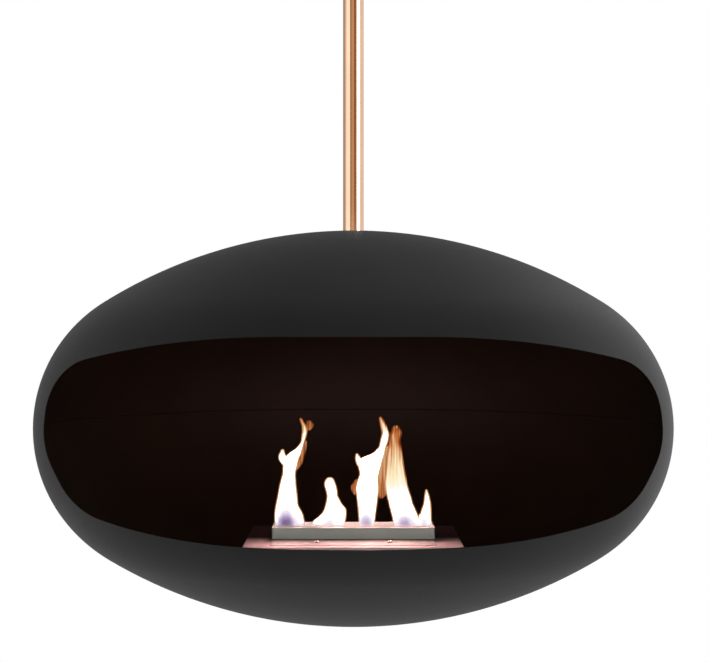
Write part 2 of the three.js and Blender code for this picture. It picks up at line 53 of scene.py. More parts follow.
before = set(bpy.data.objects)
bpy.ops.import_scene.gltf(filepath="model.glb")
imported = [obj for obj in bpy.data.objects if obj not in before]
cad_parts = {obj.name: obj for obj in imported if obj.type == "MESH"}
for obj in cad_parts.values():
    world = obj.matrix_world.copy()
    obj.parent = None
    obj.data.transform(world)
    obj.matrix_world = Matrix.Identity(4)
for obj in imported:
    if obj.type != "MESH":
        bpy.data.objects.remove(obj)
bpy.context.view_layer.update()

X, Y, Z = 0, 1, 2
WELD = 1e-6  # vertices nearer than this are one
SEAT_GAP = 0.0003  # left between two pieces that touch
CUT_OVERRUN = 0.004  # how far a cutting tool runs past what it cuts
ROUND_STEPS = 96  # sides of a large turned piece
SMALL_ROUND_STEPS = 40  # sides of a bolt, a screw or a hole
SHARP_ANGLE = math.radians(32)  # faces that turn by more than this meet at an edge
BEND_STEPS = 4  # facets of a folded edge
HEXAGON_FACE = 0.48  # radius of a hexagon's turned end, as a share of its flats
HEXAGON_CHAMFER = math.radians(30)


def low(node, axis):
    """A node's least coordinate along an axis."""
    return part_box(node)[0][axis]


def high(node, axis):
    """A node's greatest coordinate along an axis."""
    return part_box(node)[1][axis]


def middle(node, axis):
    """The middle of a node along an axis."""
    return (low(node, axis) + high(node, axis)) / 2


# ---- Levels and places taken from the frame ------------------------------------------------------

EQUATOR_Z = (low("upper_shell", Z) + high("lower_shell", Z)) / 2
BODY_RADIUS = high("lower_shell", X)
HALF_HEIGHT = EQUATOR_Z - low("lower_shell", Z)
POLE_RADIUS = high("pole_tube", X)
CROSS_BOLT_Z = middle("cross_nut", Z)
SPLIT_PIN_Z = middle("split_pin", Z)
TRAY_TOP = high("burner_tray", Z)
COLLAR_TOP = high("slot_collar", Z)
SHUTTER_UNDER = low("shutter_plate", Z)


# ---- Sizes and colours that a user would change --------------------------------------------------


def length(name, description, default):
    """A length in metres, as a property."""
    return FloatProperty(name=name, description=description, default=default, unit="LENGTH", precision=5)


def colour(name, description, default):
    """A linear RGB colour, as a property."""
    return FloatVectorProperty(
        name=name, description=description, default=default, subtype="COLOR", size=3, min=0, max=1
    )


def share(name, description, default):
    """A factor from 0 to 1, as a property."""
    return FloatProperty(
        name=name, description=description, default=default, min=0, max=1.0, subtype="FACTOR"
    )


class BodySettings(bpy.types.PropertyGroup):
    """Sizes of the two shells and of the mouth."""

    rim_arc: length("Rim arc", "Radius of the tight arc round the equator", 0.216)
    sheet: length("Sheet", "Thickness of the spun steel", 0.0025)
    seam_groove: length("Seam groove", "Chamfer inside, where the two shells meet", 0.0007)
    side_margin: length("Side margin", "Body's outline to the mouth, at the sides", 0.045)
    top_margin: length("Top margin", "Crown to the mouth's upper edge", 0.1565)
    bottom_margin: length("Bottom margin", "Floor to the mouth's lower edge", 0.1635)
    steps_around: IntProperty(
        name="Steps around", description="Facets round the body", default=192, min=24
    )
    steps_up: IntProperty(
        name="Steps up", description="Facets of each arc of the section", default=24, min=6
    )


class CeilingSettings(bpy.types.PropertyGroup):
    """Sizes of the pole and of what holds it to the ceiling."""

    pole_wall: length("Pole wall", "Wall of the pole", 0.002)
    anchor_circle: length("Anchor circle", "Radius of the circle of anchor holes", 0.055)
    anchor_hole: length("Anchor hole", "Radius of an anchor hole", 0.0045)
    socket_wall: length("Socket wall", "Wall of the ceiling socket", 0.005)
    bolt: length("Cross bolt", "Radius of the cross bolt", 0.004)
    bolt_head: length("Bolt head", "Height of the cross bolt's head and nut", 0.0053)
    bolt_flats: length("Bolt flats", "Cross bolt's head and nut, across flats", 0.013)
    canopy_sheet: length("Canopy sheet", "Sheet of the canopy", 0.0015)
    canopy_corner: length("Canopy corner", "Radius between the canopy's wall and floor", 0.010)
    set_screw: length("Set screw", "Radius of the clamp's set screw", 0.0025)


class SwivelSettings(bpy.types.PropertyGroup):
    """Sizes of the swivel in the crown and of its heat cover."""

    stud: length("Stud", "Radius of the threaded stud", 0.012)
    bush_wall: length("Bush wall", "Wall of the bronze bush", 0.0034)
    flange: length("Bush flange", "Thickness of the bush's flange", 0.003)
    race: length("Race", "Thickness of a bearing race", 0.004)
    race_bore: length("Race bore", "Radius of a race's bore", 0.0125)
    track: length("Track", "Radius of the balls' track", 0.01675)
    ball: length("Ball", "Radius of a ball", 0.0027)
    balls: IntProperty(name="Balls", description="Number of balls", default=9, min=3)
    cage_height: length("Cage height", "Height of the ball cage's ring", 0.003)
    nut_flats: length("Nut flats", "Castle nut, across flats", 0.036)
    nut_slot: length("Nut slot", "Width of a castle nut's slot", 0.005)
    nut_slot_depth: length("Nut slot depth", "Depth of a castle nut's slot", 0.006)
    split_pin: length("Split pin", "Radius of the split pin", 0.002)
    cover_sheet: length("Cover sheet", "Sheet of the heat cover", 0.002)
    cover_radius: length("Cover radius", "Radius of the heat cover's wall", 0.0348)
    cover_corner: length("Cover corner", "Radius of the heat cover's lower corner", 0.006)
    screw_circle: length("Screw circle", "Radius of the circle of cover screws", 0.0413)
    screw_hole: length("Screw hole", "Radius of a screw's hole", 0.0023)


class BurnerSettings(bpy.types.PropertyGroup):
    """Sizes of the burner."""

    sheet: length("Sheet", "Sheet of the tray, collar, shutter and rails", 0.002)
    bend: length("Bend", "Outer radius of a folded edge", 0.0026)
    slot_depth: length("Slot depth", "Collar from front to rear, without its feet", 0.070)
    foot_edge: length("Foot edge", "Thickness of the collar's foot at its edge", 0.0004)
    foot_slope: length("Foot slope", "Width over which the collar's foot thins", 0.012)
    rail_ledge: length("Rail ledge", "Width of the ledge under the shutter", 0.011)
    lip_gap: length("Lip gap", "Gap beside the shutter's lip", 0.0015)
    hook_hole: length("Hook hole", "Radius of the hole for the hook in the shutter's lip", 0.003)
    tank_sheet: length("Tank sheet", "Sheet of the fuel tank", 0.0015)
    tank_rim: length("Tank rim", "Width of the fuel tank's rim", 0.014)
    tank_corner: length("Tank corner", "Radius of the fuel tank's corners", 0.006)
    bracket_sheet: length("Bracket sheet", "Sheet of the tray's brackets", 0.003)
    bracket_bend: length("Bracket bend", "Outer radius of a bracket's fold", 0.004)


class EdgeSettings(bpy.types.PropertyGroup):
    """Small radii and chamfers."""

    machined: length("Machined edge", "Rounding on a machined edge", 0.0004)
    sheet: length("Sheet edge", "Rounding on a cut edge of sheet", 0.0002)
    thread_pitch: length("Thread pitch", "Pitch of a screw's thread", 0.001)
    thread_depth: length("Thread depth", "Depth of a screw's thread", 0.0005)


class FinishSettings(bpy.types.PropertyGroup):
    """Colours of the finishes."""

    paint: colour("Paint", "Satin paint outside", (0.0150, 0.0148, 0.0150))
    inner_paint: colour("Inner paint", "Heat-proof paint inside", (0.0150, 0.0102, 0.0054))
    # The tray's colour is stainless tinted pink with painted light from the flames.
    tray: colour("Tray", "Stainless sheet of the tray, lit by the flames", (0.84, 0.76, 0.79))
    copper: colour("Copper", "Copper plating of the pole and canopy", (0.84, 0.53, 0.36))
    stainless: colour("Stainless", "Stainless sheet of the burner", (0.72, 0.82, 0.80))
    # The foot's colour is the burner's stainless made darker with painted shade.
    foot: colour("Foot", "Stainless foot of the collar, lit by the flames", (0.50, 0.60, 0.60))
    zinc: colour("Zinc", "Zinc-plated steel", (0.55, 0.56, 0.57))
    ground: colour("Ground steel", "Bright ground steel", (0.66, 0.66, 0.67))
    bronze: colour("Bronze", "Bearing bronze", (0.58, 0.36, 0.14))
    wool: colour("Wool", "Ceramic wool", (0.72, 0.69, 0.62))


class FlameSettings(bpy.types.PropertyGroup):
    """Colours and strength of the flames."""

    heart: colour("Heart", "Colour of the light from the heart of a flame", (1.0, 0.44, 0.40))
    candle: colour("Candle", "Where a flame's white turns yellow", (1.0, 0.97, 0.84))
    cream: colour("Cream", "Pale rim of a flame", (1.0, 0.82, 0.50))
    orange: colour("Orange", "Thin gas round a flame", (0.62, 0.20, 0.06))
    ember: colour("Ember", "Coolest streaks", (0.14, 0.025, 0.005))
    pale_violet: colour("Pale violet", "Where a flame's white turns violet", (1.0, 0.93, 0.99))
    lilac: colour("Lilac", "Half way into a flame's violet foot", (0.48, 0.36, 0.60))
    violet: colour("Violet", "Middle of a flame's foot", (0.10, 0.06, 0.18))
    strength: FloatProperty(
        name="Strength", description="Light of the heart of a flame", default=20.0, min=1
    )
    depth_share: share("Depth", "Front-to-rear depth, as a share of a flame's width", 0.8)
    greatest_depth: length("Greatest depth", "Greatest half depth of a flame", 0.020)
    rim: length("Rim", "Step from one pale layer of a flame to the next", 0.0009)
    fringe: length("Fringe", "Thickness of the orange fringe round the pale layers", 0.0008)


class StageSettings(bpy.types.PropertyGroup):
    """Camera, floor and lights."""

    camera_distance: length("Camera distance", "Camera to the pole's axis", 2.300)
    camera_side: length("Camera side", "Camera to the right of the axis", 0.001)
    camera_height: length("Camera height", "Camera, from the ceiling", -1.0492)
    lens: FloatProperty(
        name="Lens", description="Focal length in millimetres", default=78.07, min=1
    )
    floor_height: length("Floor", "Floor, from the ceiling", -2.4)
    floor_radius: length("Floor radius", "Radius of the floor", 3.0)
    ambient: share("Ambient", "Light from all round, as diffuse surfaces get it", 0.55)


# ---- Meshes --------------------------------------------------------------------------------------


def spun(outline, steps=ROUND_STEPS):
    """A closed outline of (radius, height) pairs, turned about the Z axis."""
    bm = bmesh.new()
    points = [bm.verts.new((radius, 0, height)) for radius, height in outline]
    edges = [bm.edges.new(pair) for pair in zip(points, points[1:] + points[:1])]
    bmesh.ops.spin(
        bm,
        geom=points + edges,
        cent=(0, 0, 0),
        axis=(0, 0, 1),
        angle=math.tau,
        steps=steps,
        use_merge=True,
    )
    return cleaned(bm)


def cleaned(bm):
    """Merges doubles, drops what that leaves without area and turns the faces outwards."""
    bmesh.ops.remove_doubles(bm, verts=bm.verts, dist=WELD)
    bmesh.ops.dissolve_degenerate(bm, edges=bm.edges, dist=WELD)
    loose = [edge for edge in bm.edges if not edge.link_faces]
    bmesh.ops.delete(bm, geom=loose, context="EDGES")
    bmesh.ops.recalc_face_normals(bm, faces=bm.faces)
    return bm


def prism(points, travel):
    """A flat outline of 3-D points, extruded along a vector."""
    bm = bmesh.new()
    face = bm.faces.new([bm.verts.new(point) for point in points])
    grown = bmesh.ops.extrude_face_region(bm, geom=[face])["geom"]
    moved = [part for part in grown if isinstance(part, bmesh.types.BMVert)]
    bmesh.ops.translate(bm, verts=moved, vec=travel)
    bmesh.ops.recalc_face_normals(bm, faces=bm.faces)
    return bm


def block(corner_a, corner_b):
    """A box between two corners."""
    a, b = Vector(corner_a), Vector(corner_b)
    bm = bmesh.new()
    bmesh.ops.create_cube(bm, size=1)
    bmesh.ops.scale(bm, verts=bm.verts, vec=[abs(size) for size in b - a])
    bmesh.ops.translate(bm, verts=bm.verts, vec=(a + b) / 2)
    return bm


def bar(radius, start, end, axis=Z, steps=SMALL_ROUND_STEPS, at=(0, 0, 0)):
    """A round bar along an axis, from start to end."""
    bm = bmesh.new()
    bmesh.ops.create_cone(
        bm, cap_ends=True, segments=steps, radius1=radius, radius2=radius, depth=end - start
    )
    bmesh.ops.translate(bm, verts=bm.verts, vec=(0, 0, (start + end) / 2))
    return placed(bm, axis, at)


def placed(bm, axis, at):
    """Turns a shape made along Z to lie along an axis, and moves it."""
    turns = {X: Matrix.Rotation(math.pi / 2, 4, "Y"), Y: Matrix.Rotation(-math.pi / 2, 4, "X")}
    if axis in turns:
        bmesh.ops.transform(bm, verts=bm.verts, matrix=turns[axis])
    bmesh.ops.translate(bm, verts=bm.verts, vec=at)
    return bm


def joined(first, *others):
    """One bmesh that holds several solids side by side."""
    for other in others:
        mesh = bpy.data.meshes.new("joined")
        other.to_mesh(mesh)
        other.free()
        first.from_mesh(mesh)
        bpy.data.meshes.remove(mesh)
    return first


def scratch_object(bm):
    """A linked object that holds a bmesh for a moment."""
    mesh = bpy.data.meshes.new("scratch")
    bm.to_mesh(mesh)
    bm.free()
    scratch = bpy.data.objects.new("scratch", mesh)
    bpy.context.scene.collection.objects.link(scratch)
    return scratch


def combined(bm, tools, operation):
    """A solid with others cut from it or joined to it."""
    target = scratch_object(bm)
    helpers = [scratch_object(tool) for tool in tools]
    for helper in helpers:
        step = target.modifiers.new("step", "BOOLEAN")
        step.operation = operation
        step.solver = "EXACT"
        step.object = helper
    graph = bpy.context.evaluated_depsgraph_get()
    result = bmesh.new()
    result.from_mesh(target.evaluated_get(graph).to_mesh())
    for scratch in [target, *helpers]:
        mesh = scratch.data
        bpy.data.objects.remove(scratch)
        bpy.data.meshes.remove(mesh)
    bmesh.ops.remove_doubles(result, verts=result.verts, dist=WELD)
    return result


def cut(bm, *tools):
    """A solid with others cut from it."""
    return combined(bm, tools, "DIFFERENCE")


def fused(bm, *others):
    """A solid with others joined to it."""
    return combined(bm, others, "UNION")


def kept_inside(bm, space):
    """The share of a solid that lies inside another."""
    return combined(bm, [space], "INTERSECT")


def rounded(bm, width, chosen=None, segments=2):
    """Rounds the edges that a test picks, or else every sharp one."""
    sharp = [edge for edge in bm.edges if edge.calc_face_angle(0) > SHARP_ANGLE]
    bmesh.ops.bevel(
        bm,
        geom=[edge for edge in sharp if chosen is None or chosen(edge)],
        offset=width,
        offset_type="OFFSET",
        segments=segments,
        profile=0.5,
        affect="EDGES",
        clamp_overlap=True,
        material=-1,
    )
    return bm


def at_level(axis, *levels):
    """A test for edges that lie across an axis, at one of some levels."""

    def lies_there(edge):
        first, second = (corner.co[axis] for corner in edge.verts)
        return abs(first - second) < WELD and any(abs(first - level) < 2 * WELD for level in levels)

    return lies_there


def rounded_block(corner_a, corner_b, radius, *flat):
    """A box whose edges are rounded, but for those round the flat sides, named as (axis, level)."""
    tests = [at_level(axis, level) for axis, level in flat]
    return rounded(
        block(corner_a, corner_b),
        radius,
        lambda edge: not any(test(edge) for test in tests),
        BEND_STEPS,
    )


def arc(centre_radius, centre_height, radius, start, end, steps=8):
    """Points of part of a circle in a turned outline; the angles are in degrees."""
    angles = [math.radians(start + (end - start) * i / steps) for i in range(steps + 1)]
    return [
        (centre_radius + radius * math.cos(angle), centre_height + radius * math.sin(angle))
        for angle in angles
    ]


def threaded(radius, start, end, edges):
    """Outline points of a thread's roots and crests between two heights."""
    turns = round(abs(end - start) / edges.thread_pitch)
    rise = (end - start) / turns
    points = [(radius - edges.thread_depth, start)]
    for i in range(turns):
        points.append((radius, start + rise * (i + 0.5)))
        points.append((radius - edges.thread_depth, start + rise * (i + 1)))
    return points


def hexagon(flats, bottom, top):
    """A hexagon prism on the Z axis whose corners are turned off at both ends."""
    corner = flats / math.sqrt(3)
    bm = bmesh.new()
    bmesh.ops.create_cone(
        bm, cap_ends=True, segments=6, radius1=corner, radius2=corner, depth=top - bottom
    )
    bmesh.ops.translate(bm, verts=bm.verts, vec=(0, 0, (bottom + top) / 2))
    face = flats * HEXAGON_FACE
    drop = (corner - face) * math.tan(HEXAGON_CHAMFER)
    clear = corner + SEAT_GAP
    turning = spun(
        [
            (0, bottom - WELD),
            (face, bottom - WELD),
            (clear, bottom + drop),
            (clear, top - drop),
            (face, top + WELD),
            (0, top + WELD),
        ]
    )
    return kept_inside(bm, turning)


def hole_tool(radius, bottom, top, at, flare):
    """A tool for a round hole whose ends open slightly."""
    past = flare + SEAT_GAP
    outline = [
        (0, bottom - SEAT_GAP),
        (radius + past, bottom - SEAT_GAP),
        (radius, bottom + flare),
        (radius, top - flare),
        (radius + past, top + SEAT_GAP),
        (0, top + SEAT_GAP),
    ]
    return placed(spun(outline, SMALL_ROUND_STEPS), Z, at)


def on_circle(radius, count, start=0.0):
    """Places set out evenly on a circle about the Z axis."""
    turns = [start + math.tau * i / count for i in range(count)]
    return [(radius * math.cos(turn), radius * math.sin(turn), 0) for turn in turns]


def shade_smooth(bm):
    """Smooth faces, with an edge left sharp where the surface really turns."""
    for face in bm.faces:
        face.smooth = True
    for edge in bm.edges:
        edge.smooth = edge.calc_face_angle(0) < SHARP_ANGLE


def add_piece(name, bm, body, materials, replaced=(), even_normals=True):
    """Makes a finished piece of a bmesh: its object, materials, body and replaced nodes."""
    shade_smooth(bm)
    mesh = bpy.data.meshes.new(name)
    bm.to_mesh(mesh)
    bm.free()
    piece = bpy.data.objects.new(name, mesh)
    bpy.context.scene.collection.objects.link(piece)
    for material in materials:
        mesh.materials.append(material)
    if even_normals:
        evened = piece.modifiers.new("even normals", "WEIGHTED_NORMAL")
        evened.keep_sharp = True
    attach(piece, body)
    if replaced:
        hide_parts(*replaced)
    return piece


def add_node(node, bm, body, *names):
    """Makes the piece that shows one node of the frame, with the finishes of these names."""
    finishes = [finish_of(name) for name in names]
    return add_piece(node.replace("_", "-"), bm, body, finishes, [node])


# ---- Materials -----------------------------------------------------------------------------------


class Surface:
    """A material in the making: its shader and short ways to add the nodes behind it."""

    def __init__(self, name):
        self.material = bpy.data.materials.new(name)
        self.material.use_nodes = True
        self.tree = self.material.node_tree
        self.shader = self.tree.nodes["Principled BSDF"]

    def node(self, kind, **values):
        """A node with its properties set."""
        made = self.tree.nodes.new("ShaderNode" + kind)
        for key, value in values.items():
            setattr(made, key, value)
        return made

    def link(self, output, target):
        """Links an output to an input."""
        self.tree.links.new(output, target)

    def set(self, **values):
        """Sets the shader's own sockets; _ stands for a blank in their names."""
        for key, value in values.items():
            self.shader.inputs[key.replace("_", " ")].default_value = value

    def place(self, stretch=(1, 1, 1)):
        """Object coordinates in metres, scaled along each axis."""
        coordinates = self.node("TexCoord")
        mapping = self.node("Mapping")
        mapping.inputs["Scale"].default_value = stretch
        self.link(coordinates.outputs["Object"], mapping.inputs["Vector"])
        return mapping.outputs["Vector"]

    def noise(self, scale, stretch=(1, 1, 1), detail=3.0, roughness=0.5):
        """Cloudy noise on the object's own coordinates."""
        made = self.node("TexNoise")
        made.inputs["Scale"].default_value = scale
        made.inputs["Detail"].default_value = detail
        made.inputs["Roughness"].default_value = roughness
        self.link(self.place(stretch), made.inputs["Vector"])
        return made.outputs["Fac"]

    def ramp(self, value, *stops):
        """A colour ramp of (position, colour) stops."""
        made = self.node("ValToRGB")
        elements = made.color_ramp.elements
        elements.remove(elements[1])
        elements[0].position = stops[0][0]
        for position, _ in stops[1:]:
            elements.new(position)
        for element, (_, rgb) in zip(elements, stops):
            element.color = (*rgb, 1)
        self.link(value, made.inputs["Fac"])
        return made.outputs["Color"]

    def mixed(self, factor, first, second):
        """Mixes two colours by a factor."""
        made = self.node("MixRGB")
        for target, output in zip(made.inputs, (factor, first, second)):
            self.link(output, target)
        return made.outputs["Color"]

    def darkened_along_y(self, tone, start, end, least):
        """Painted shade: a colour that falls to a share of itself from one place along Y to another."""
        place = self.node("SeparateXYZ")
        self.link(self.place(), place.inputs["Vector"])
        shade = self.spread(place.outputs["Y"], 1.0, least, start, end)
        made = self.node("MixRGB", blend_type="MULTIPLY")
        made.inputs["Fac"].default_value = 1.0
        self.link(tone, made.inputs["Color1"])
        self.link(shade, made.inputs["Color2"])
        return made.outputs["Color"]

    def spread(self, value, least, most, start=0.3, end=0.7):
        """Maps the middle of a pattern to a range of numbers."""
        made = self.node("MapRange")
        for key, number in zip(("From Min", "From Max", "To Min", "To Max"), (start, end, least, most)):
            made.inputs[key].default_value = number
        self.link(value, made.inputs["Value"])
        return made.outputs["Result"]

    def bump(self, height, distance, strength=1.0):
        """Fine relief."""
        made = self.node("Bump")
        made.inputs["Distance"].default_value = distance
        made.inputs["Strength"].default_value = strength
        self.link(height, made.inputs["Height"])
        self.link(made.outputs["Normal"], self.shader.inputs["Normal"])


def shaded(rgb, factor):
    """A colour made darker or lighter."""
    return tuple(min(1.0, channel * factor) for channel in rgb)


PAINT_CLOUDS = 0.12  # how much darker and lighter clouds make clean paint
PAINT_GLOSS = 0.03  # how far the roughness of paint strays
ORANGE_PEEL = 0.00002  # height of paint's relief
DRAWN_TONES = (0.95, 1.04)  # least and most colour of drawn metal, as shares of its own
DRAWN_POLISH = (0.8, 1.25)  # the same for its roughness
DRAWN_RELIEF = 0.000001
GRAIN_POLISH = (0.8, 1.2)  # least and most roughness of grained metal
GRAIN_RELIEF = 0.00001
WOOL_TONES = (0.72, 1.1)
WOOL_RELIEF = 0.0012


def paint_material(name, rgb, roughness, level, soot=1.0):
    """Sprayed paint: fine orange peel, and slight clouds in colour and gloss."""
    surface = Surface(name)
    surface.set(Metallic=0.0, Specular_IOR_Level=level)
    contrast = PAINT_CLOUDS * soot
    clouds = surface.noise(7, detail=4)
    tone = surface.ramp(clouds, (0.32, shaded(rgb, 1 - contrast)), (0.68, shaded(rgb, 1 + contrast)))
    surface.link(tone, surface.shader.inputs["Base Color"])
    speckle = surface.noise(420, detail=2)
    gloss = surface.spread(speckle, roughness - PAINT_GLOSS, roughness + PAINT_GLOSS)
    surface.link(gloss, surface.shader.inputs["Roughness"])
    surface.bump(surface.noise(900, detail=2), ORANGE_PEEL, 0.6)
    return surface.material


def drawn_material(name, rgb, roughness, stretch, painted_shade=None):
    """Metal with fine lines along its length, as drawn or brushed metal has; painted shade may darken
    it.
    """
    surface = Surface(name)
    surface.set(Metallic=1.0)
    lines = surface.noise(1, stretch, detail=3, roughness=0.6)
    clouds = surface.noise(14, detail=3)
    darkest, lightest = (shaded(rgb, factor) for factor in DRAWN_TONES)
    tone = surface.ramp(clouds, (0.3, darkest), (0.7, lightest))
    if painted_shade:
        tone = surface.darkened_along_y(tone, *painted_shade)
    surface.link(tone, surface.shader.inputs["Base Color"])
    polish = surface.spread(lines, *(roughness * factor for factor in DRAWN_POLISH))
    surface.link(polish, surface.shader.inputs["Roughness"])
    surface.bump(lines, DRAWN_RELIEF, 0.5)
    return surface.material


def grained_material(name, rgb, roughness, scale, contrast=0.1):
    """Metal with a fine even grain, as plated, cast or ground metal has."""
    surface = Surface(name)
    surface.set(Metallic=1.0)
    cells = surface.node("TexVoronoi")
    cells.inputs["Scale"].default_value = scale
    surface.link(surface.place(), cells.inputs["Vector"])
    value = surface.node("SeparateColor")
    surface.link(cells.outputs["Color"], value.inputs["Color"])
    tone = surface.ramp(
        value.outputs["Red"], (0.0, shaded(rgb, 1 - contrast)), (1.0, shaded(rgb, 1 + contrast))
    )
    surface.link(tone, surface.shader.inputs["Base Color"])
    scratches = surface.noise(260, (1, 1, 6), detail=3)
    polish = surface.spread(scratches, *(roughness * factor for factor in GRAIN_POLISH))
    surface.link(polish, surface.shader.inputs["Roughness"])
    surface.bump(scratches, GRAIN_RELIEF, 0.5)
    return surface.material


def wool_material(rgb):
    """Matted ceramic fibre."""
    surface = Surface("ceramic wool")
    surface.set(Metallic=0.0, Roughness=0.95, Specular_IOR_Level=0.2)
    fibres = surface.noise(90, (1, 4, 1), detail=8, roughness=0.7)
    darkest, lightest = (shaded(rgb, factor) for factor in WOOL_TONES)
    tone = surface.ramp(fibres, (0.3, darkest), (0.7, lightest))
    surface.link(tone, surface.shader.inputs["Base Color"])
    surface.bump(fibres, WOOL_RELIEF, 0.8)
    return surface.material


STREAKS = (330, 160, 16)  # scale of a flame's streaks along each axis
STREAK_HEAT = (-0.5, 0.3)  # least and most that a streak adds to the heat of cool gas


def flame_material(flames):
    """Glowing gas: a piece's attributes say how hot, how violet and how thick it is at each point."""
    surface = Surface("burning gas")
    surface.set(Base_Color=(0, 0, 0, 1), Roughness=1.0, Specular_IOR_Level=0.0)
    surface.set(Emission_Strength=flames.strength)
    heat, violet, thickness = (
        surface.node("Attribute", attribute_name=key).outputs["Fac"]
        for key in ("warmth", "violet", "thickness")
    )
    streaks = surface.spread(surface.noise(1, STREAKS, detail=2), *STREAK_HEAT)
    coolness = surface.node("Math", operation="SUBTRACT", use_clamp=True)
    coolness.inputs[0].default_value = 1.0
    surface.link(heat, coolness.inputs[1])
    wavering = surface.node("Math", operation="MULTIPLY_ADD")
    for target, value in zip(wavering.inputs, (streaks, coolness.outputs[0], heat)):
        surface.link(value, target)
    dimming = 1 / flames.strength
    glow = surface.ramp(
        wavering.outputs[0],
        (0.0, shaded(flames.ember, dimming)),
        (0.33, shaded(flames.orange, dimming)),
        (0.66, shaded(flames.cream, dimming)),
        (0.85, shaded(flames.candle, dimming)),
        (1.0, flames.heart),
    )
    foot = surface.ramp(
        violet,
        (PALE_VIOLET, shaded(flames.pale_violet, dimming)),
        (0.5, shaded(flames.lilac, dimming)),
        (1.0, shaded(flames.violet, dimming)),
    )
    tinted = surface.mixed(surface.spread(violet, 0, 1, 0, PALE_VIOLET), glow, foot)
    surface.link(tinted, surface.shader.inputs["Emission Color"])
    surface.link(thickness, surface.shader.inputs["Alpha"])
    return surface.material


PAINTED_SHADE = (-0.085, 0.0, 0.05)  # where the tray's painted shade starts and is full along Y, and what it leaves
FOOT_PAINTED_SHADE = (-0.097, -0.046, 0.14)  # the same for the collar's foot
DRAWN_LINES = (900, 900, 9)  # scale along each axis of the lines along the pole
BRUSHED_LINES = (60, 3500, 3500)  # the same for the lines along the burner
SATIN_LINES = (60, 2500, 2500)


def make_finishes(finish):
    """All finishes of the solid pieces, by name, with their roughness and what else they take."""
    return {
        "paint": paint_material("satin paint", finish.paint, 0.48, 0.16),
        "inner_paint": paint_material("heat-proof paint", finish.inner_paint, 0.6, 0.22, soot=1.6),
        "copper": drawn_material("copper plating", finish.copper, 0.10, DRAWN_LINES),
        "stainless": drawn_material("brushed stainless", finish.stainless, 0.42, BRUSHED_LINES),
        # The foot is stainless darkened by painted shade, the tray is tinted by painted flame light, and
        # painted shade darkens both along Y.
        "foot": drawn_material("smoked stainless", finish.foot, 0.60, BRUSHED_LINES, FOOT_PAINTED_SHADE),
        "tray": drawn_material("satin stainless with painted light and shade", finish.tray, 0.68, SATIN_LINES, PAINTED_SHADE),
        "zinc": grained_material("zinc plating", finish.zinc, 0.42, 1400),
        "ground": grained_material("ground steel", finish.ground, 0.24, 2600, 0.05),
        "bronze": grained_material("bearing bronze", finish.bronze, 0.38, 1800, 0.08),
        "wool": wool_material(finish.wool),
    }


def finish_of(name):
    """A finish made earlier, by its short name."""
    if not FINISHES:
        FINISHES.update(make_finishes(bpy.context.scene.fireplace_finish))
    return FINISHES[name]


FINISHES = {}


# ---- Body shells ---------------------------------------------------------------------------------


def oval_arcs(body):
    """Where the oval's two arcs lie: rim arc's centre, crown arc's radius and offset, their joint."""
    rim_centre = BODY_RADIUS - body.rim_arc
    crown_arc = (rim_centre**2 + HALF_HEIGHT**2 - body.rim_arc**2) / (2 * (HALF_HEIGHT - body.rim_arc))
    offset = crown_arc - HALF_HEIGHT
    return rim_centre, crown_arc, offset, math.atan2(offset, rim_centre)


def half_oval(body, inset, end_radius):
    """The oval's upper half as (radius, height) pairs from the equator to the crown, inset."""
    rim_centre, crown_arc, offset, joint = oval_arcs(body)
    rim = body.rim_arc - inset
    crown = crown_arc - inset
    steps = body.steps_up
    end = math.acos(end_radius / crown)
    points = []
    for i in range(steps):
        angle = joint * i / steps
        points.append((rim_centre + rim * math.cos(angle), rim * math.sin(angle)))
    for i in range(steps + 1):
        angle = joint + (end - joint) * i / steps
        points.append((crown * math.cos(angle), crown * math.sin(angle) - offset))
    return points


def shell_section(body, end_radius):
    """A shell's closed section: outer arc up to the crown, inner arc back down to the seam."""
    outer = half_oval(body, 0, end_radius)
    inner = half_oval(body, body.sheet, end_radius)[1:]
    groove = body.seam_groove
    seam_radius = BODY_RADIUS - body.sheet
    return outer + inner[::-1] + [(seam_radius, groove), (seam_radius + groove, 0)]


def rounded_outline(corners, steps):
    """Points round a polygon whose corners (x, z, radius) are rounded, listed anticlockwise."""
    bends = []
    for i, (x, z, radius) in enumerate(corners):
        corner = Vector((x, z))
        to_last = Vector(corners[i - 1][:2]) - corner
        to_next = Vector(corners[(i + 1) % len(corners)][:2]) - corner
        half = to_last.angle(to_next) / 2
        bends.append((corner, to_last, to_next, half, radius / math.tan(half)))
    points = []
    for i, (corner, to_last, to_next, half, reach) in enumerate(bends):
        room_before = to_last.length / (bends[i - 1][-1] + reach)
        room_after = to_next.length / (bends[(i + 1) % len(bends)][-1] + reach)
        reach *= min(1, room_before, room_after)
        inward = (to_last.normalized() + to_next.normalized()).normalized()
        centre = corner + inward * (reach * math.tan(half) / math.sin(half))
        start = corner + to_last.normalized() * reach - centre
        for step in range(steps + 1):
            turn = Matrix.Rotation((math.pi - 2 * half) * step / steps, 2)
            points.append(centre + turn @ start)
    return points


MOUTH_ARC_STEPS = 20
MOUTH_SIDE_HEIGHT = -0.0155  # widest point, from the equator
MOUTH_SIDE_RADIUS = 0.087
MOUTH_SHOULDER = {"inset": 0.200, "radius": 1.160}
MOUTH_TOP_CORNER = {"inset": 0.010, "drop": 0.044, "radius": 0.086}
MOUTH_LOW_CORNER = {"inset": 0.0515, "rise": 0.0285, "radius": 0.096}


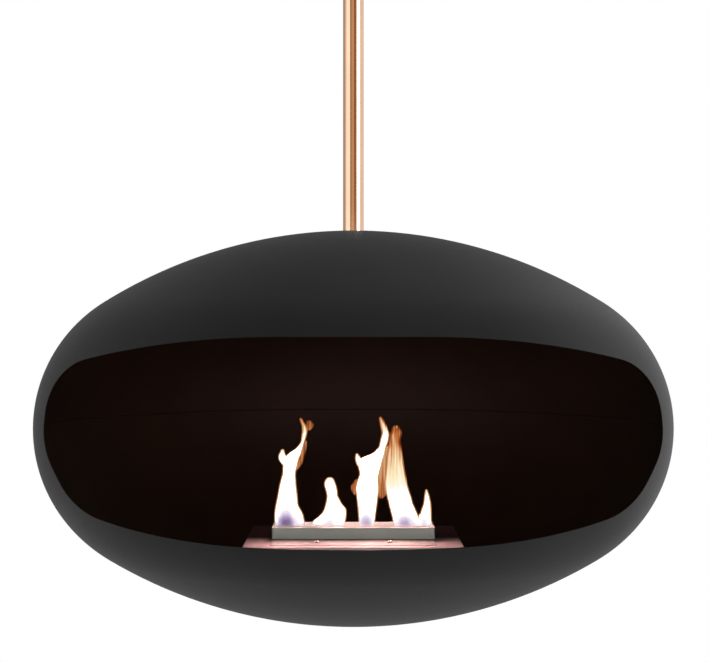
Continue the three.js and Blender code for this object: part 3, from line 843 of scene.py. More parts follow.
def mouth_tool(body):
    """The solid that cuts the mouth: its front outline, run back to the middle of the body."""
    side = BODY_RADIUS - body.side_margin
    top = HALF_HEIGHT - body.top_margin
    bottom = body.bottom_margin - HALF_HEIGHT
    low_x, low_z = side - MOUTH_LOW_CORNER["inset"], bottom + MOUTH_LOW_CORNER["rise"]
    top_x, top_z = side - MOUTH_TOP_CORNER["inset"], top - MOUTH_TOP_CORNER["drop"]
    shoulder_x = side - MOUTH_SHOULDER["inset"]
    right = [
        (shoulder_x, bottom, MOUTH_SHOULDER["radius"]),
        (low_x, low_z, MOUTH_LOW_CORNER["radius"]),
        (side, MOUTH_SIDE_HEIGHT, MOUTH_SIDE_RADIUS),
        (top_x, top_z, MOUTH_TOP_CORNER["radius"]),
        (shoulder_x, top, MOUTH_SHOULDER["radius"]),
    ]
    left = [(-x, z, radius) for x, z, radius in reversed(right)]
    front = -BODY_RADIUS - CUT_OVERRUN
    outline = rounded_outline(right + left, MOUTH_ARC_STEPS)
    return prism([(x, front, EQUATOR_Z + z) for x, z in outline], (0, -front, 0))


def oval_normal(point, body):
    """The oval's outward direction at a point, and the point's depth under its outer surface."""
    rim_centre, crown_arc, offset, joint = oval_arcs(body)
    radius = math.hypot(point.x, point.y)
    height = point.z - EQUATOR_Z
    side = math.copysign(1, height)
    if math.atan2(abs(height) + offset, radius) > joint:
        across, along, arc = radius, abs(height) + offset, crown_arc
    else:
        across, along, arc = radius - rim_centre, abs(height), body.rim_arc
    distance = math.hypot(across, along)
    level = across / distance / max(radius, WELD)
    normal = Vector((point.x * level, point.y * level, side * along / distance))
    return normal, arc - distance


OUTSIDE, INSIDE = 0, 1  # a shell's material indices
ON_WALL = 0.2  # share of the sheet within which a point lies on one of its walls
CROWN_GAP = 0.001  # between the pole and the hole in the crown


def finish_shell(piece, body):
    """Gives a shell its two paints, and the true oval's normals on both of its walls."""
    mesh = piece.data
    near = body.sheet * ON_WALL
    normals = [Vector(corner.vector) for corner in mesh.corner_normals]
    for face in mesh.polygons:
        depths = [oval_normal(mesh.vertices[v].co, body)[1] for v in face.vertices]
        outside = max(abs(depth) for depth in depths) < near
        inside = max(abs(depth - body.sheet) for depth in depths) < near
        face.material_index = INSIDE if inside else OUTSIDE
        if outside or inside:
            for corner in face.loop_indices:
                point = mesh.vertices[mesh.loops[corner].vertex_index].co
                normal = oval_normal(point, body)[0]
                normals[corner] = normal if outside else -normal
    mesh.normals_split_custom_set(normals)


class FIREPLACE_OT_shells(bpy.types.Operator):
    """Add the two body shells, with the mouth cut through both"""

    bl_idname = "fireplace.add_shells"
    bl_label = "Body shells"

    def execute(self, context):
        body = context.scene.fireplace_body
        halves = (("shell_upper", "upper_shell", 1), ("shell_lower", "lower_shell", -1))
        for name, node, side in halves:
            hole = POLE_RADIUS + CROWN_GAP if side > 0 else 0
            section = shell_section(body, hole)
            outline = [(radius, EQUATOR_Z + side * height) for radius, height in section]
            shell = cut(spun(outline, body.steps_around), mouth_tool(body))
            paints = [finish_of("paint"), finish_of("inner_paint")]
            piece = add_piece(name, shell, "fire_body", paints, [node], False)
            finish_shell(piece, body)
        return {"FINISHED"}


# ---- Pole and ceiling pieces ---------------------------------------------------------------------


def ring_outline(bore, radius, bottom, top):
    """The closed section of a plain ring."""
    return [(radius, bottom), (radius, top), (bore, top), (bore, bottom)]


def turned_ring(node, bore, edge):
    """A ring in the place of a node, with its edges rounded."""
    outline = ring_outline(bore, high(node, X), low(node, Z), high(node, Z))
    return rounded(spun(outline), edge)


def cross_hole_tool(ceiling):
    """The cross bolt's hole through the pole and its socket."""
    reach = high("ceiling_socket", X) + CUT_OVERRUN
    return bar(ceiling.bolt + SEAT_GAP, -reach, reach, X, at=(0, 0, CROSS_BOLT_Z))


class FIREPLACE_OT_pole(bpy.types.Operator):
    """Add the pole"""

    bl_idname = "fireplace.add_pole"
    bl_label = "Pole"

    def execute(self, context):
        ceiling, edges = context.scene.fireplace_ceiling, context.scene.fireplace_edges
        tube = turned_ring("pole_tube", POLE_RADIUS - ceiling.pole_wall, edges.machined)
        tube = cut(tube, cross_hole_tool(ceiling))
        finishes = [finish_of("copper")]
        pole = add_piece("pole", tube, "ceiling_mount", finishes, ["pole_tube"])
        pole.visible_glossy = False  # its mirror image would redden the paint at its foot
        return {"FINISHED"}


ANCHORS = 4


def ceiling_plate(ceiling, edges):
    """The round plate with its anchor holes."""
    bottom, top = low("ceiling_plate", Z), high("ceiling_plate", Z)
    radius = high("ceiling_plate", X)
    plate = rounded(spun([(0, bottom), (radius, bottom), (radius, top), (0, top)]), edges.machined)
    hole, edge = ceiling.anchor_hole, edges.machined
    places = on_circle(ceiling.anchor_circle, ANCHORS, math.pi / ANCHORS)
    return cut(plate, *(hole_tool(hole, bottom, top, place, edge) for place in places))


def cross_bolt(ceiling, edges):
    """The hexagon bolt through the socket and the pole, made along Z and laid along X."""
    start, end = low("cross_bolt", X), high("cross_bolt", X)
    under_head = end - ceiling.bolt_head
    shank = [
        (0, start),
        (ceiling.bolt - edges.thread_depth, start),
        *threaded(ceiling.bolt, start + edges.thread_pitch, high("cross_nut", X), edges),
        (ceiling.bolt, high("cross_nut", X) + edges.thread_pitch),
        (ceiling.bolt, under_head + edges.thread_pitch),
        (0, under_head + edges.thread_pitch),
    ]
    bolt = fused(hexagon(ceiling.bolt_flats, under_head, end), spun(shank, SMALL_ROUND_STEPS))
    return placed(bolt, X, (0, 0, CROSS_BOLT_Z))


def cross_nut(ceiling):
    """The bolt's nut."""
    start, end = low("cross_nut", X), high("cross_nut", X)
    thread = hole_tool(ceiling.bolt + SEAT_GAP, start, end, (0, 0, 0), SEAT_GAP)
    return placed(cut(hexagon(ceiling.bolt_flats, start, end), thread), X, (0, 0, CROSS_BOLT_Z))


class FIREPLACE_OT_ceiling(bpy.types.Operator):
    """Add the ceiling plate, its socket and the cross bolt with its nut"""

    bl_idname = "fireplace.add_ceiling"
    bl_label = "Ceiling fixing"

    def execute(self, context):
        ceiling, edges = context.scene.fireplace_ceiling, context.scene.fireplace_edges
        bore = high("ceiling_socket", X) - ceiling.socket_wall
        socket = cut(turned_ring("ceiling_socket", bore, edges.machined), cross_hole_tool(ceiling))
        pieces = (
            ("ceiling_plate", ceiling_plate(ceiling, edges), "zinc"),
            ("ceiling_socket", socket, "zinc"),
            ("cross_bolt", cross_bolt(ceiling, edges), "ground"),
            ("cross_nut", cross_nut(ceiling), "ground"),
        )
        for node, bm, finish in pieces:
            add_node(node, bm, "ceiling_mount", finish)
        return {"FINISHED"}


# ---- Canopy --------------------------------------------------------------------------------------


def canopy_cover(ceiling, edges):
    """The cup over the ceiling plate, open at the top, with a round corner and a hole for the pole."""
    radius, top, bottom = high("canopy_cover", X), high("canopy_cover", Z), low("canopy_cover", Z)
    sheet, corner = ceiling.canopy_sheet, ceiling.canopy_corner
    bend = (radius - corner, bottom + corner)
    outline = [
        (radius, top),
        *arc(*bend, corner, 0, -90),
        (POLE_RADIUS + SEAT_GAP, bottom),
        (POLE_RADIUS + SEAT_GAP, bottom + sheet),
        *arc(*bend, corner - sheet, -90, 0),
        (radius - sheet, top),
    ]
    return rounded(spun(outline), edges.sheet)


def clamp_screw(ceiling, edges):
    """The clamp's set screw: cup point, thread and hexagon socket."""
    start, end = low("clamp_screw", X), high("clamp_screw", X)
    radius, pitch = ceiling.set_screw, edges.thread_pitch
    cup = start + pitch * 0.4
    first_thread, last_thread = start + pitch * 0.8, end - pitch * 0.2
    outline = [
        (0, cup),
        (radius / 2, start),
        *threaded(radius, first_thread, last_thread, edges),
        (0, last_thread),
    ]
    socket = hexagon(radius, end - radius, end + CUT_OVERRUN)
    return placed(cut(spun(outline, SMALL_ROUND_STEPS), socket), X, (0, 0, middle("clamp_screw", Z)))


class FIREPLACE_OT_canopy(bpy.types.Operator):
    """Add the canopy, its clamp and the set screw"""

    bl_idname = "fireplace.add_canopy"
    bl_label = "Canopy"

    def execute(self, context):
        ceiling, edges = context.scene.fireplace_ceiling, context.scene.fireplace_edges
        reach = high("canopy_clamp", X) + CUT_OVERRUN
        thread = bar(ceiling.set_screw + SEAT_GAP, 0, reach, X, at=(0, 0, middle("clamp_screw", Z)))
        clamp = cut(turned_ring("canopy_clamp", POLE_RADIUS + SEAT_GAP, edges.machined * 2), thread)
        add_node("canopy_cover", canopy_cover(ceiling, edges), "canopy", "copper")
        add_node("canopy_clamp", clamp, "canopy", "copper")
        add_node("clamp_screw", clamp_screw(ceiling, edges), "canopy", "ground")
        return {"FINISHED"}


# ---- Swivel --------------------------------------------------------------------------------------

HUB_STEPS = 8  # facets of the hub's domed top
COVER_SCREWS = 3
TAPPED_DEPTH = 0.005  # depth of a tapped hole in the hub
GROOVE_GAP = 2.4 * SEAT_GAP  # between a ball and its groove
CAGE_STEP = 0.001  # the cage is this much narrower than the races, at each side
BALL_STEPS = 24  # sides of a ball
PIN_WIRE = 0.7  # radius of the split pin's wire at the eye, as a share of the pin's
PIN_EYE = 0.0035  # radius of the split pin's eye, to the middle of its wire


def crown_height(radius, depth, body):
    """Height of the crown's arc at a radius, at a depth under the outer surface."""
    _, crown_arc, offset, _ = oval_arcs(body)
    return EQUATOR_Z + math.sqrt((crown_arc - depth) ** 2 - radius**2) - offset


def hub_plate(body, swivel, edges):
    """The thick disc under the crown: its top follows the shell, its underside is flat."""
    radius, bottom = high("hub_plate", X), low("hub_plate", Z)
    bore = POLE_RADIUS + swivel.bush_wall + 2 * SEAT_GAP
    depth = body.sheet + SEAT_GAP
    radii = [bore + (radius - bore) * i / HUB_STEPS for i in range(HUB_STEPS + 1)]
    crown = [(step, crown_height(step, depth, body)) for step in radii]
    plate = rounded(spun([(bore, bottom), *crown, (radius, bottom)]), edges.machined)
    start, end = bottom - TAPPED_DEPTH, bottom + TAPPED_DEPTH
    tapped = on_circle(swivel.screw_circle, COVER_SCREWS)
    return cut(plate, *(bar(swivel.screw_hole, start, end, at=place) for place in tapped))


def hub_bush(swivel, edges):
    """The flanged bronze bush that runs on the pole."""
    bottom, top = low("hub_bush", Z), high("hub_bush", Z)
    bore, wall = POLE_RADIUS + SEAT_GAP / 2, POLE_RADIUS + SEAT_GAP / 2 + swivel.bush_wall
    step = bottom + swivel.flange
    flange = high("hub_bush", X)
    outline = [(flange, bottom), (flange, step), (wall, step), (wall, top), (bore, top), (bore, bottom)]
    return rounded(spun(outline), edges.machined)


def race(node, swivel, edges, groove_side):
    """A bearing race with a groove for the balls in its upper (1) or lower (-1) face."""
    bottom, top, radius = low(node, Z), high(node, Z), high(node, X)
    ball_level = middle("ball_cage", Z)
    face = top if groove_side > 0 else bottom
    back = bottom if groove_side > 0 else top
    groove = swivel.ball + GROOVE_GAP
    half = math.degrees(math.acos(abs(face - ball_level) / groove))
    down = -90 * groove_side
    dip = arc(swivel.track, ball_level, groove, down - half, down + half)
    if groove_side > 0:
        dip.reverse()
    bore = swivel.race_bore
    outline = [(radius, back), (radius, face), *dip, (bore, face), (bore, back)]
    return rounded(spun(outline), edges.machined)


def balls(swivel):
    """The bearing's balls."""
    made = []
    for x, y, _ in on_circle(swivel.track, swivel.balls):
        ball = bmesh.new()
        bmesh.ops.create_uvsphere(
            ball, u_segments=BALL_STEPS, v_segments=BALL_STEPS // 2, radius=swivel.ball
        )
        bmesh.ops.translate(ball, verts=ball.verts, vec=(x, y, middle("ball_cage", Z)))
        made.append(ball)
    return joined(*made)


def ball_cage(swivel, edges):
    """The ring that spaces the balls, with a pocket for each."""
    height = middle("ball_cage", Z)
    reach = swivel.track - swivel.race_bore - CAGE_STEP
    outline = ring_outline(
        swivel.track - reach,
        swivel.track + reach,
        height - swivel.cage_height / 2,
        height + swivel.cage_height / 2,
    )
    pocket = swivel.ball + SEAT_GAP / 2
    tools = [
        bar(pocket, height - CUT_OVERRUN, height + CUT_OVERRUN, at=place)
        for place in on_circle(swivel.track, swivel.balls)
    ]
    return cut(rounded(spun(outline), edges.sheet), *tools)


def spigot(swivel, edges):
    """The plug in the pole's end and the threaded stud under it, drilled for the split pin."""
    bottom, shoulder, top = low("pole_spigot", Z), low("pole_tube", Z), high("pole_spigot", Z)
    plug = high("pole_spigot", X)
    chamfer = edges.thread_pitch
    outline = [
        (0, bottom),
        (swivel.stud - chamfer, bottom),
        *threaded(swivel.stud, bottom + chamfer, high("castle_nut", Z), edges),
        (swivel.stud, high("castle_nut", Z) + chamfer),
        (swivel.stud, shoulder),
        (plug, shoulder),
        (plug, top - chamfer),
        (plug - chamfer, top),
        (0, top),
    ]
    reach = swivel.stud + CUT_OVERRUN
    hole = bar(swivel.split_pin + SEAT_GAP, -reach, reach, X, at=(0, 0, SPLIT_PIN_Z))
    return cut(spun(outline), hole)


def castle_nut(swivel):
    """The slotted nut on the stud."""
    bottom, top = low("castle_nut", Z), high("castle_nut", Z)
    tools = [hole_tool(swivel.stud + SEAT_GAP, bottom, top, (0, 0, 0), 2 * SEAT_GAP)]
    half, reach = swivel.nut_slot / 2, swivel.nut_flats
    slot_top = bottom + swivel.nut_slot_depth
    for i in range(3):
        slot = block((-reach, -half, bottom - CUT_OVERRUN), (reach, half, slot_top))
        turn = Matrix.Rotation(math.pi * i / 3, 4, "Z")
        bmesh.ops.transform(slot, verts=slot.verts, matrix=turn)
        tools.append(slot)
    return cut(hexagon(swivel.nut_flats, bottom, top), *tools)


def split_pin(swivel):
    """The split pin: two legs with a slit between them, and an eye at one end."""
    start, end = low("split_pin", X), high("split_pin", X)
    wire = swivel.split_pin * PIN_WIRE
    eye_middle = end - wire - PIN_EYE
    legs = bar(swivel.split_pin, start, eye_middle - PIN_EYE, X, at=(0, 0, SPLIT_PIN_Z))
    legs = rounded(legs, wire / 4)
    slit = block(
        (start - CUT_OVERRUN, -CUT_OVERRUN, SPLIT_PIN_Z - SEAT_GAP / 2),
        (eye_middle - 2 * PIN_EYE, CUT_OVERRUN, SPLIT_PIN_Z + SEAT_GAP / 2),
    )
    eye = bmesh.new()
    section = bmesh.ops.create_circle(eye, segments=16, radius=wire)["verts"]
    bmesh.ops.rotate(eye, verts=section, matrix=Matrix.Rotation(math.pi / 2, 3, "X"))
    bmesh.ops.translate(eye, verts=section, vec=(PIN_EYE, 0, 0))
    bmesh.ops.spin(
        eye, geom=eye.verts[:] + eye.edges[:], axis=(0, 0, 1), angle=math.tau, steps=32, use_merge=True
    )
    bmesh.ops.rotate(eye, verts=eye.verts, matrix=Matrix.Rotation(math.pi / 2, 3, "X"))
    bmesh.ops.translate(eye, verts=eye.verts, vec=(eye_middle, 0, SPLIT_PIN_Z))
    return fused(cut(legs, slit), cleaned(eye))


class FIREPLACE_OT_swivel(bpy.types.Operator):
    """Add the swivel: hub, bush, thrust bearing, washer, stud, castle nut and split pin"""

    bl_idname = "fireplace.add_swivel"
    bl_label = "Swivel"

    def execute(self, context):
        scene = context.scene
        swivel, edges = scene.fireplace_swivel, scene.fireplace_edges
        washer = turned_ring("thrust_washer", swivel.stud + SEAT_GAP, edges.machined)
        pieces = (
            ("hub_plate", hub_plate(scene.fireplace_body, swivel, edges), "fire_body", "zinc"),
            ("hub_bush", hub_bush(swivel, edges), "fire_body", "bronze"),
            ("upper_race", race("upper_race", swivel, edges, -1), "fire_body", "ground"),
            ("ball_cage", ball_cage(swivel, edges), "bearing_cage", "bronze"),
            ("lower_race", race("lower_race", swivel, edges, 1), "ceiling_mount", "ground"),
            ("thrust_washer", washer, "ceiling_mount", "ground"),
            ("pole_spigot", spigot(swivel, edges), "ceiling_mount", "ground"),
            ("castle_nut", castle_nut(swivel), "ceiling_mount", "zinc"),
            ("split_pin", split_pin(swivel), "ceiling_mount", "ground"),
        )
        for node, bm, body, finish in pieces:
            add_node(node, bm, body, finish)
        steel = [finish_of("ground")]
        add_piece("bearing-balls", balls(swivel), "bearing_cage", steel, ())
        return {"FINISHED"}


# ---- Heat cover and screws -----------------------------------------------------------------------

SCREW_HEAD = 0.0024  # height of a button head
SCREW_SHANK = 0.002  # radius of its screw
SCREW_POINT = 0.0004  # chamfer at its end
SCREW_RIM = 0.25  # upright edge of a button head, as a share of its height
SCREW_SOCKET = 0.0025  # hexagon socket, across flats
SOCKET_FLOOR = 0.45  # its floor, as a share of the head's height
DOME_STEPS = 8
COVER_FOLD = 0.75  # inner radius of the heat cover's fold, as a share of its sheet


def button_screw(node, scene, head_up):
    """A button-headed screw with a hexagon socket, its head up or down."""
    edges = scene.fireplace_edges
    radius = (high(node, X) - low(node, X)) / 2
    reach = high(node, Z) - low(node, Z) - SCREW_HEAD
    turns = [math.radians(90 * i / DOME_STEPS) for i in range(DOME_STEPS)]
    dome = [
        (radius * math.cos(turn), SCREW_HEAD * (SCREW_RIM + (1 - SCREW_RIM) * math.sin(turn)))
        for turn in turns
    ]
    outline = [
        (0, -reach),
        (SCREW_SHANK - SCREW_POINT, -reach),
        *threaded(SCREW_SHANK, -reach + SCREW_POINT, -edges.thread_pitch / 2, edges),
        (SCREW_SHANK, 0),
        (radius, 0),
        *dome,
        (0, SCREW_HEAD),
    ]
    socket = hexagon(SCREW_SOCKET, SCREW_HEAD * SOCKET_FLOOR, SCREW_HEAD + CUT_OVERRUN)
    screw = cut(spun(outline, SMALL_ROUND_STEPS), socket)
    if not head_up:
        bmesh.ops.rotate(screw, verts=screw.verts, matrix=Matrix.Rotation(math.pi, 3, "X"))
    under_head = high(node, Z) - SCREW_HEAD if head_up else low(node, Z) + SCREW_HEAD
    return placed(screw, Z, (middle(node, X), middle(node, Y), under_head))


def heat_cover(swivel, edges):
    """The spun cup under the swivel, with a flange and screw holes."""
    bottom, top, flange = low("heat_cover", Z), high("heat_cover", Z), high("heat_cover", X)
    radius, sheet, corner = swivel.cover_radius, swivel.cover_sheet, swivel.cover_corner
    under = top - sheet
    fold = sheet * COVER_FOLD
    fold_middle = (radius + fold, under - fold)
    corner_middle = (radius - corner, bottom + corner)
    outline = [
        (0, bottom),
        *arc(*corner_middle, corner, -90, 0),
        *arc(*fold_middle, fold, 180, 90),
        (flange, under),
        (flange, top),
        *arc(*fold_middle, fold + sheet, 90, 180),
        *arc(*corner_middle, corner - sheet, 0, -90),
        (0, bottom + sheet),
    ]
    places = on_circle(swivel.screw_circle, COVER_SCREWS)
    holes = [hole_tool(swivel.screw_hole, under, top, place, edges.sheet) for place in places]
    return cut(rounded(spun(outline), edges.sheet), *holes)


class FIREPLACE_OT_cover(bpy.types.Operator):
    """Add the heat cover and its screws"""

    bl_idname = "fireplace.add_cover"
    bl_label = "Heat cover"

    def execute(self, context):
        scene = context.scene
        cover = heat_cover(scene.fireplace_swivel, scene.fireplace_edges)
        add_node("heat_cover", cover, "fire_body", "inner_paint")
        for i in range(1, COVER_SCREWS + 1):
            node = f"cover_screw_{i}"
            add_node(node, button_screw(node, scene, head_up=False), "fire_body", "ground")
        return {"FINISHED"}


# ---- Burner --------------------------------------------------------------------------------------

COLLAR_SCREWS = [f"collar_screw_{i}" for i in (1, 2, 3, 4)]
FOOT_FINISH = 1  # material index of the collar's foot, whose finish is a darker stainless with painted shade
WOOL_CUTS = 40  # cuts along each edge of the wool
WOOL_LUMPS = ((60, 1.0), (190, 0.5))  # scale and weight of the lumps on the wool
WOOL_DEPTH = 0.0012  # how far the lumps reach in


def slot_tool(burner, bottom, top):
    """A tool for the burner's slot, with folded corners."""
    half_length = high("slot_collar", X) - burner.sheet
    half_depth = burner.slot_depth / 2 - burner.sheet
    return rounded_block(
        (-half_length, -half_depth, bottom),
        (half_length, half_depth, top),
        burner.bend - burner.sheet,
        (Z, bottom),
        (Z, top),
    )


def screw_holes(scene, bottom, top):
    """Tools for the holes of the collar's screws."""
    hole, edge = scene.fireplace_swivel.screw_hole, scene.fireplace_edges.sheet
    places = [(middle(node, X), middle(node, Y), 0) for node in COLLAR_SCREWS]
    return [hole_tool(hole, bottom, top, place, edge) for place in places]


def burner_tray(scene):
    """The tray: a sheet with its four edges folded down, with the slot and the screw holes."""
    burner = scene.fireplace_burner
    left, right = low("burner_tray", X), high("burner_tray", X)
    front, rear = low("burner_tray", Y), high("burner_tray", Y)
    bottom, sheet = low("burner_tray", Z), burner.sheet
    under = bottom - CUT_OVERRUN
    outside = rounded_block((left, front, bottom), (right, rear, TRAY_TOP), burner.bend, (Z, bottom))
    inside = rounded_block(
        (left + sheet, front + sheet, under),
        (right - sheet, rear - sheet, TRAY_TOP - sheet),
        burner.bend - sheet,
        (Z, under),
    )
    slot = slot_tool(burner, TRAY_TOP - sheet - CUT_OVERRUN, TRAY_TOP + CUT_OVERRUN)
    return cut(outside, inside, slot, *screw_holes(scene, TRAY_TOP - sheet, TRAY_TOP))


def slot_collar(scene):
    """The upright collar round the slot, with a foot that thins out along its front and rear."""
    burner, edges = scene.fireplace_burner, scene.fireplace_edges
    bottom, half_length = low("slot_collar", Z), high("slot_collar", X)
    half_depth, reach = burner.slot_depth / 2, high("slot_collar", Y)
    foot_top = bottom + burner.sheet
    walls = rounded_block(
        (-half_length, -half_depth, bottom),
        (half_length, half_depth, COLLAR_TOP),
        burner.bend,
        (Z, bottom),
        (Z, COLLAR_TOP),
    )
    thin = bottom + burner.foot_edge
    slope = reach - burner.foot_slope
    rear_half = [(reach, bottom), (reach, thin), (slope, foot_top)]
    section = rear_half + [(-y, z) for y, z in reversed(rear_half)]
    foot = prism([(-half_length, y, z) for y, z in section], (2 * half_length, 0, 0))
    collar = cut(fused(walls, foot), slot_tool(burner, bottom - CUT_OVERRUN, COLLAR_TOP + CUT_OVERRUN))
    fold, upper = at_level(Y, -half_depth, half_depth), at_level(Z, foot_top)
    collar = rounded(collar, burner.bend / 2, lambda edge: fold(edge) and upper(edge))
    collar = rounded(collar, edges.sheet, at_level(Z, COLLAR_TOP))
    collar = cut(collar, *screw_holes(scene, bottom, foot_top))
    # The foot's faces take the darker stainless with painted shade.
    for face in collar.faces:
        _, y, z = face.calc_center_median()
        if abs(y) > half_depth + burner.foot_edge and z < foot_top + WELD:
            face.material_index = FOOT_FINISH
    return collar


def shutter_plate(burner, edges):
    """The sliding shutter: a plate with an upright lip at its front, and a hole in it for a hook."""
    front, rear = low("shutter_plate", Y), high("shutter_plate", Y)
    bottom, top, half = low("shutter_plate", Z), high("shutter_plate", Z), high("shutter_plate", X)
    lip_half = high("slot_collar", X) - burner.sheet - burner.lip_gap
    plate = block((-half, front, bottom), (half, rear, bottom + burner.sheet))
    lip = block((-lip_half, front, bottom), (lip_half, front + burner.sheet, top))
    folded = fused(plate, lip)
    front_edge, under_edge = at_level(Y, front), at_level(Z, bottom)
    folded = rounded(folded, burner.bend, lambda edge: front_edge(edge) and under_edge(edge), BEND_STEPS)
    folded = rounded(folded, edges.sheet, at_level(Z, top))
    hook_height = (top + TRAY_TOP) / 2
    return cut(folded, bar(burner.hook_hole, -CUT_OVERRUN, CUT_OVERRUN, Y, at=(0, front, hook_height)))


def shutter_rail(node, burner, edges):
    """A rail under the tray: an upright web, and a ledge that the shutter slides on."""
    front, rear = low(node, Y), high(node, Y)
    bottom, top = low(node, Z), high(node, Z)
    side = math.copysign(1, middle(node, X))
    outer = side * max(abs(low(node, X)), abs(high(node, X)))
    web = outer - side * burner.sheet
    ledge = web - side * burner.rail_ledge
    level = bottom + burner.sheet
    section = [(ledge, bottom), (outer, bottom), (outer, top), (web, top), (web, level), (ledge, level)]
    rail = prism([(x, front, z) for x, z in section], (0, rear - front, 0))
    corner_x, corner_z = at_level(X, outer), at_level(Z, bottom)
    rail = rounded(rail, burner.bend, lambda edge: corner_x(edge) and corner_z(edge), BEND_STEPS)
    return rounded(rail, edges.sheet, at_level(Y, front, rear))


def fuel_tank(burner, edges):
    """The fuel tank: a deep box with round corners, hung by its rim."""
    bottom, top = low("fuel_tank", Z), high("fuel_tank", Z)
    rim_x, rim_y = high("fuel_tank", X), high("fuel_tank", Y)
    wall_x, wall_y = rim_x - burner.tank_rim, rim_y - burner.tank_rim
    sheet, corner = burner.tank_sheet, burner.tank_corner
    rim_bottom = top - sheet
    over = top + CUT_OVERRUN
    rim = rounded_block(
        (-rim_x, -rim_y, rim_bottom), (rim_x, rim_y, top), corner, (Z, rim_bottom), (Z, top)
    )
    walls = rounded_block((-wall_x, -wall_y, bottom), (wall_x, wall_y, top), corner, (Z, top))
    inside = rounded_block(
        (sheet - wall_x, sheet - wall_y, bottom + sheet),
        (wall_x - sheet, wall_y - sheet, over),
        corner - sheet,
        (Z, over),
    )
    return rounded(cut(fused(rim, walls), inside), edges.sheet, at_level(Z, rim_bottom, top))


def fuel_wool():
    """The block of ceramic wool in the tank, matted and uneven on top."""
    corners = [[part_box("fuel_wool")[end][axis] for axis in (X, Y, Z)] for end in (0, 1)]
    wool = block(*corners)
    bmesh.ops.subdivide_edges(wool, edges=wool.edges, cuts=WOOL_CUTS, use_grid_fill=True)
    centre = (Vector(corners[0]) + Vector(corners[1])) / 2
    for corner in wool.verts:
        lumps = sum(weight * noise.noise(corner.co * scale) for scale, weight in WOOL_LUMPS)
        inward = (centre - corner.co).normalized()
        corner.co += inward * WOOL_DEPTH * (1 + lumps)
    bmesh.ops.recalc_face_normals(wool, faces=wool.faces)
    return wool


class FIREPLACE_OT_burner(bpy.types.Operator):
    """Add the burner: tray, collar, screws, rails, tank and wool"""

    bl_idname = "fireplace.add_burner"
    bl_label = "Burner"

    def execute(self, context):
        scene = context.scene
        burner, edges = scene.fireplace_burner, scene.fireplace_edges
        pieces = (
            # The tray's finish holds painted flame light and painted shade.
            ("burner_tray", burner_tray(scene), "tray"),
            # The collar's foot takes a darker stainless finish with painted shade.
            ("slot_collar", slot_collar(scene), "stainless", "foot"),
            ("shutter_rail_left", shutter_rail("shutter_rail_left", burner, edges), "stainless"),
            ("shutter_rail_right", shutter_rail("shutter_rail_right", burner, edges), "stainless"),
            ("fuel_tank", fuel_tank(burner, edges), "stainless"),
            ("fuel_wool", fuel_wool(), "wool"),
        )
        for node, bm, *finishes in pieces:
            add_node(node, bm, "burner", *finishes)
        for node in COLLAR_SCREWS:
            add_node(node, button_screw(node, scene, head_up=True), "burner", "ground")
        return {"FINISHED"}


class FIREPLACE_OT_shutter(bpy.types.Operator):
    """Add the sliding shutter"""

    bl_idname = "fireplace.add_shutter"
    bl_label = "Shutter"

    def execute(self, context):
        scene = context.scene
        plate = shutter_plate(scene.fireplace_burner, scene.fireplace_edges)
        finishes = [finish_of("stainless")]
        add_piece("shutter", plate, "shutter", finishes, ["shutter_plate"])
        return {"FINISHED"}


def bowl_space(body):
    """The space inside the lower shell."""
    oval = half_oval(body, body.sheet + SEAT_GAP, 0)
    floor = [(radius, EQUATOR_Z - height) for radius, height in oval]
    return spun([*floor, (0, EQUATOR_Z)])


def tray_bracket(node, body, burner):
    """A bracket: a wall that stands in the bowl, with a ledge folded out under the tray."""
    front, rear, top = low(node, Y), high(node, Y), high(node, Z)
    side = math.copysign(1, middle(node, X))
    near, far = sorted((low(node, X), high(node, X)), key=abs)
    wall = near + side * burner.bracket_sheet
    ledge = top - burner.bracket_sheet
    floor = EQUATOR_Z - HALF_HEIGHT
    section = [(near, floor), (wall, floor), (wall, ledge), (far, ledge), (far, top), (near, top)]
    bracket = prism([(x, front, z) for x, z in section], (0, rear - front, 0))
    fold_x, fold_z = at_level(X, near), at_level(Z, top)
    bend = burner.bracket_bend
    bracket = rounded(bracket, bend, lambda edge: fold_x(edge) and fold_z(edge), BEND_STEPS)
    return kept_inside(bracket, bowl_space(body))


class FIREPLACE_OT_brackets(bpy.types.Operator):
    """Add the two brackets that carry the tray"""

    bl_idname = "fireplace.add_brackets"
    bl_label = "Tray brackets"

    def execute(self, context):
        scene = context.scene
        for side in ("left", "right"):
            node = f"tray_bracket_{side}"
            bracket = tray_bracket(node, scene.fireplace_body, scene.fireplace_burner)
            add_node(node, bracket, "fire_body", "inner_paint")
        return {"FINISHED"}


# ---- Flames --------------------------------------------------------------------------------------

MILLIMETRE = 0.001
RING_STEPS = 16
RING_SPACING = 6  # greatest distance between two rings of a flame, in millimetres
RING_SWELL = 1.026  # makes up for what subdivision takes off a ring
LEAST_HALF = 0.3  # least half width of a ring, in millimetres
TIP_SHARES = (0.5, 0.82, 0.97)  # where a tip has its rings, from its last station to its point
FOOT_FADE = (0, 8)  # heights between which a flame's foot turns from clear to bright

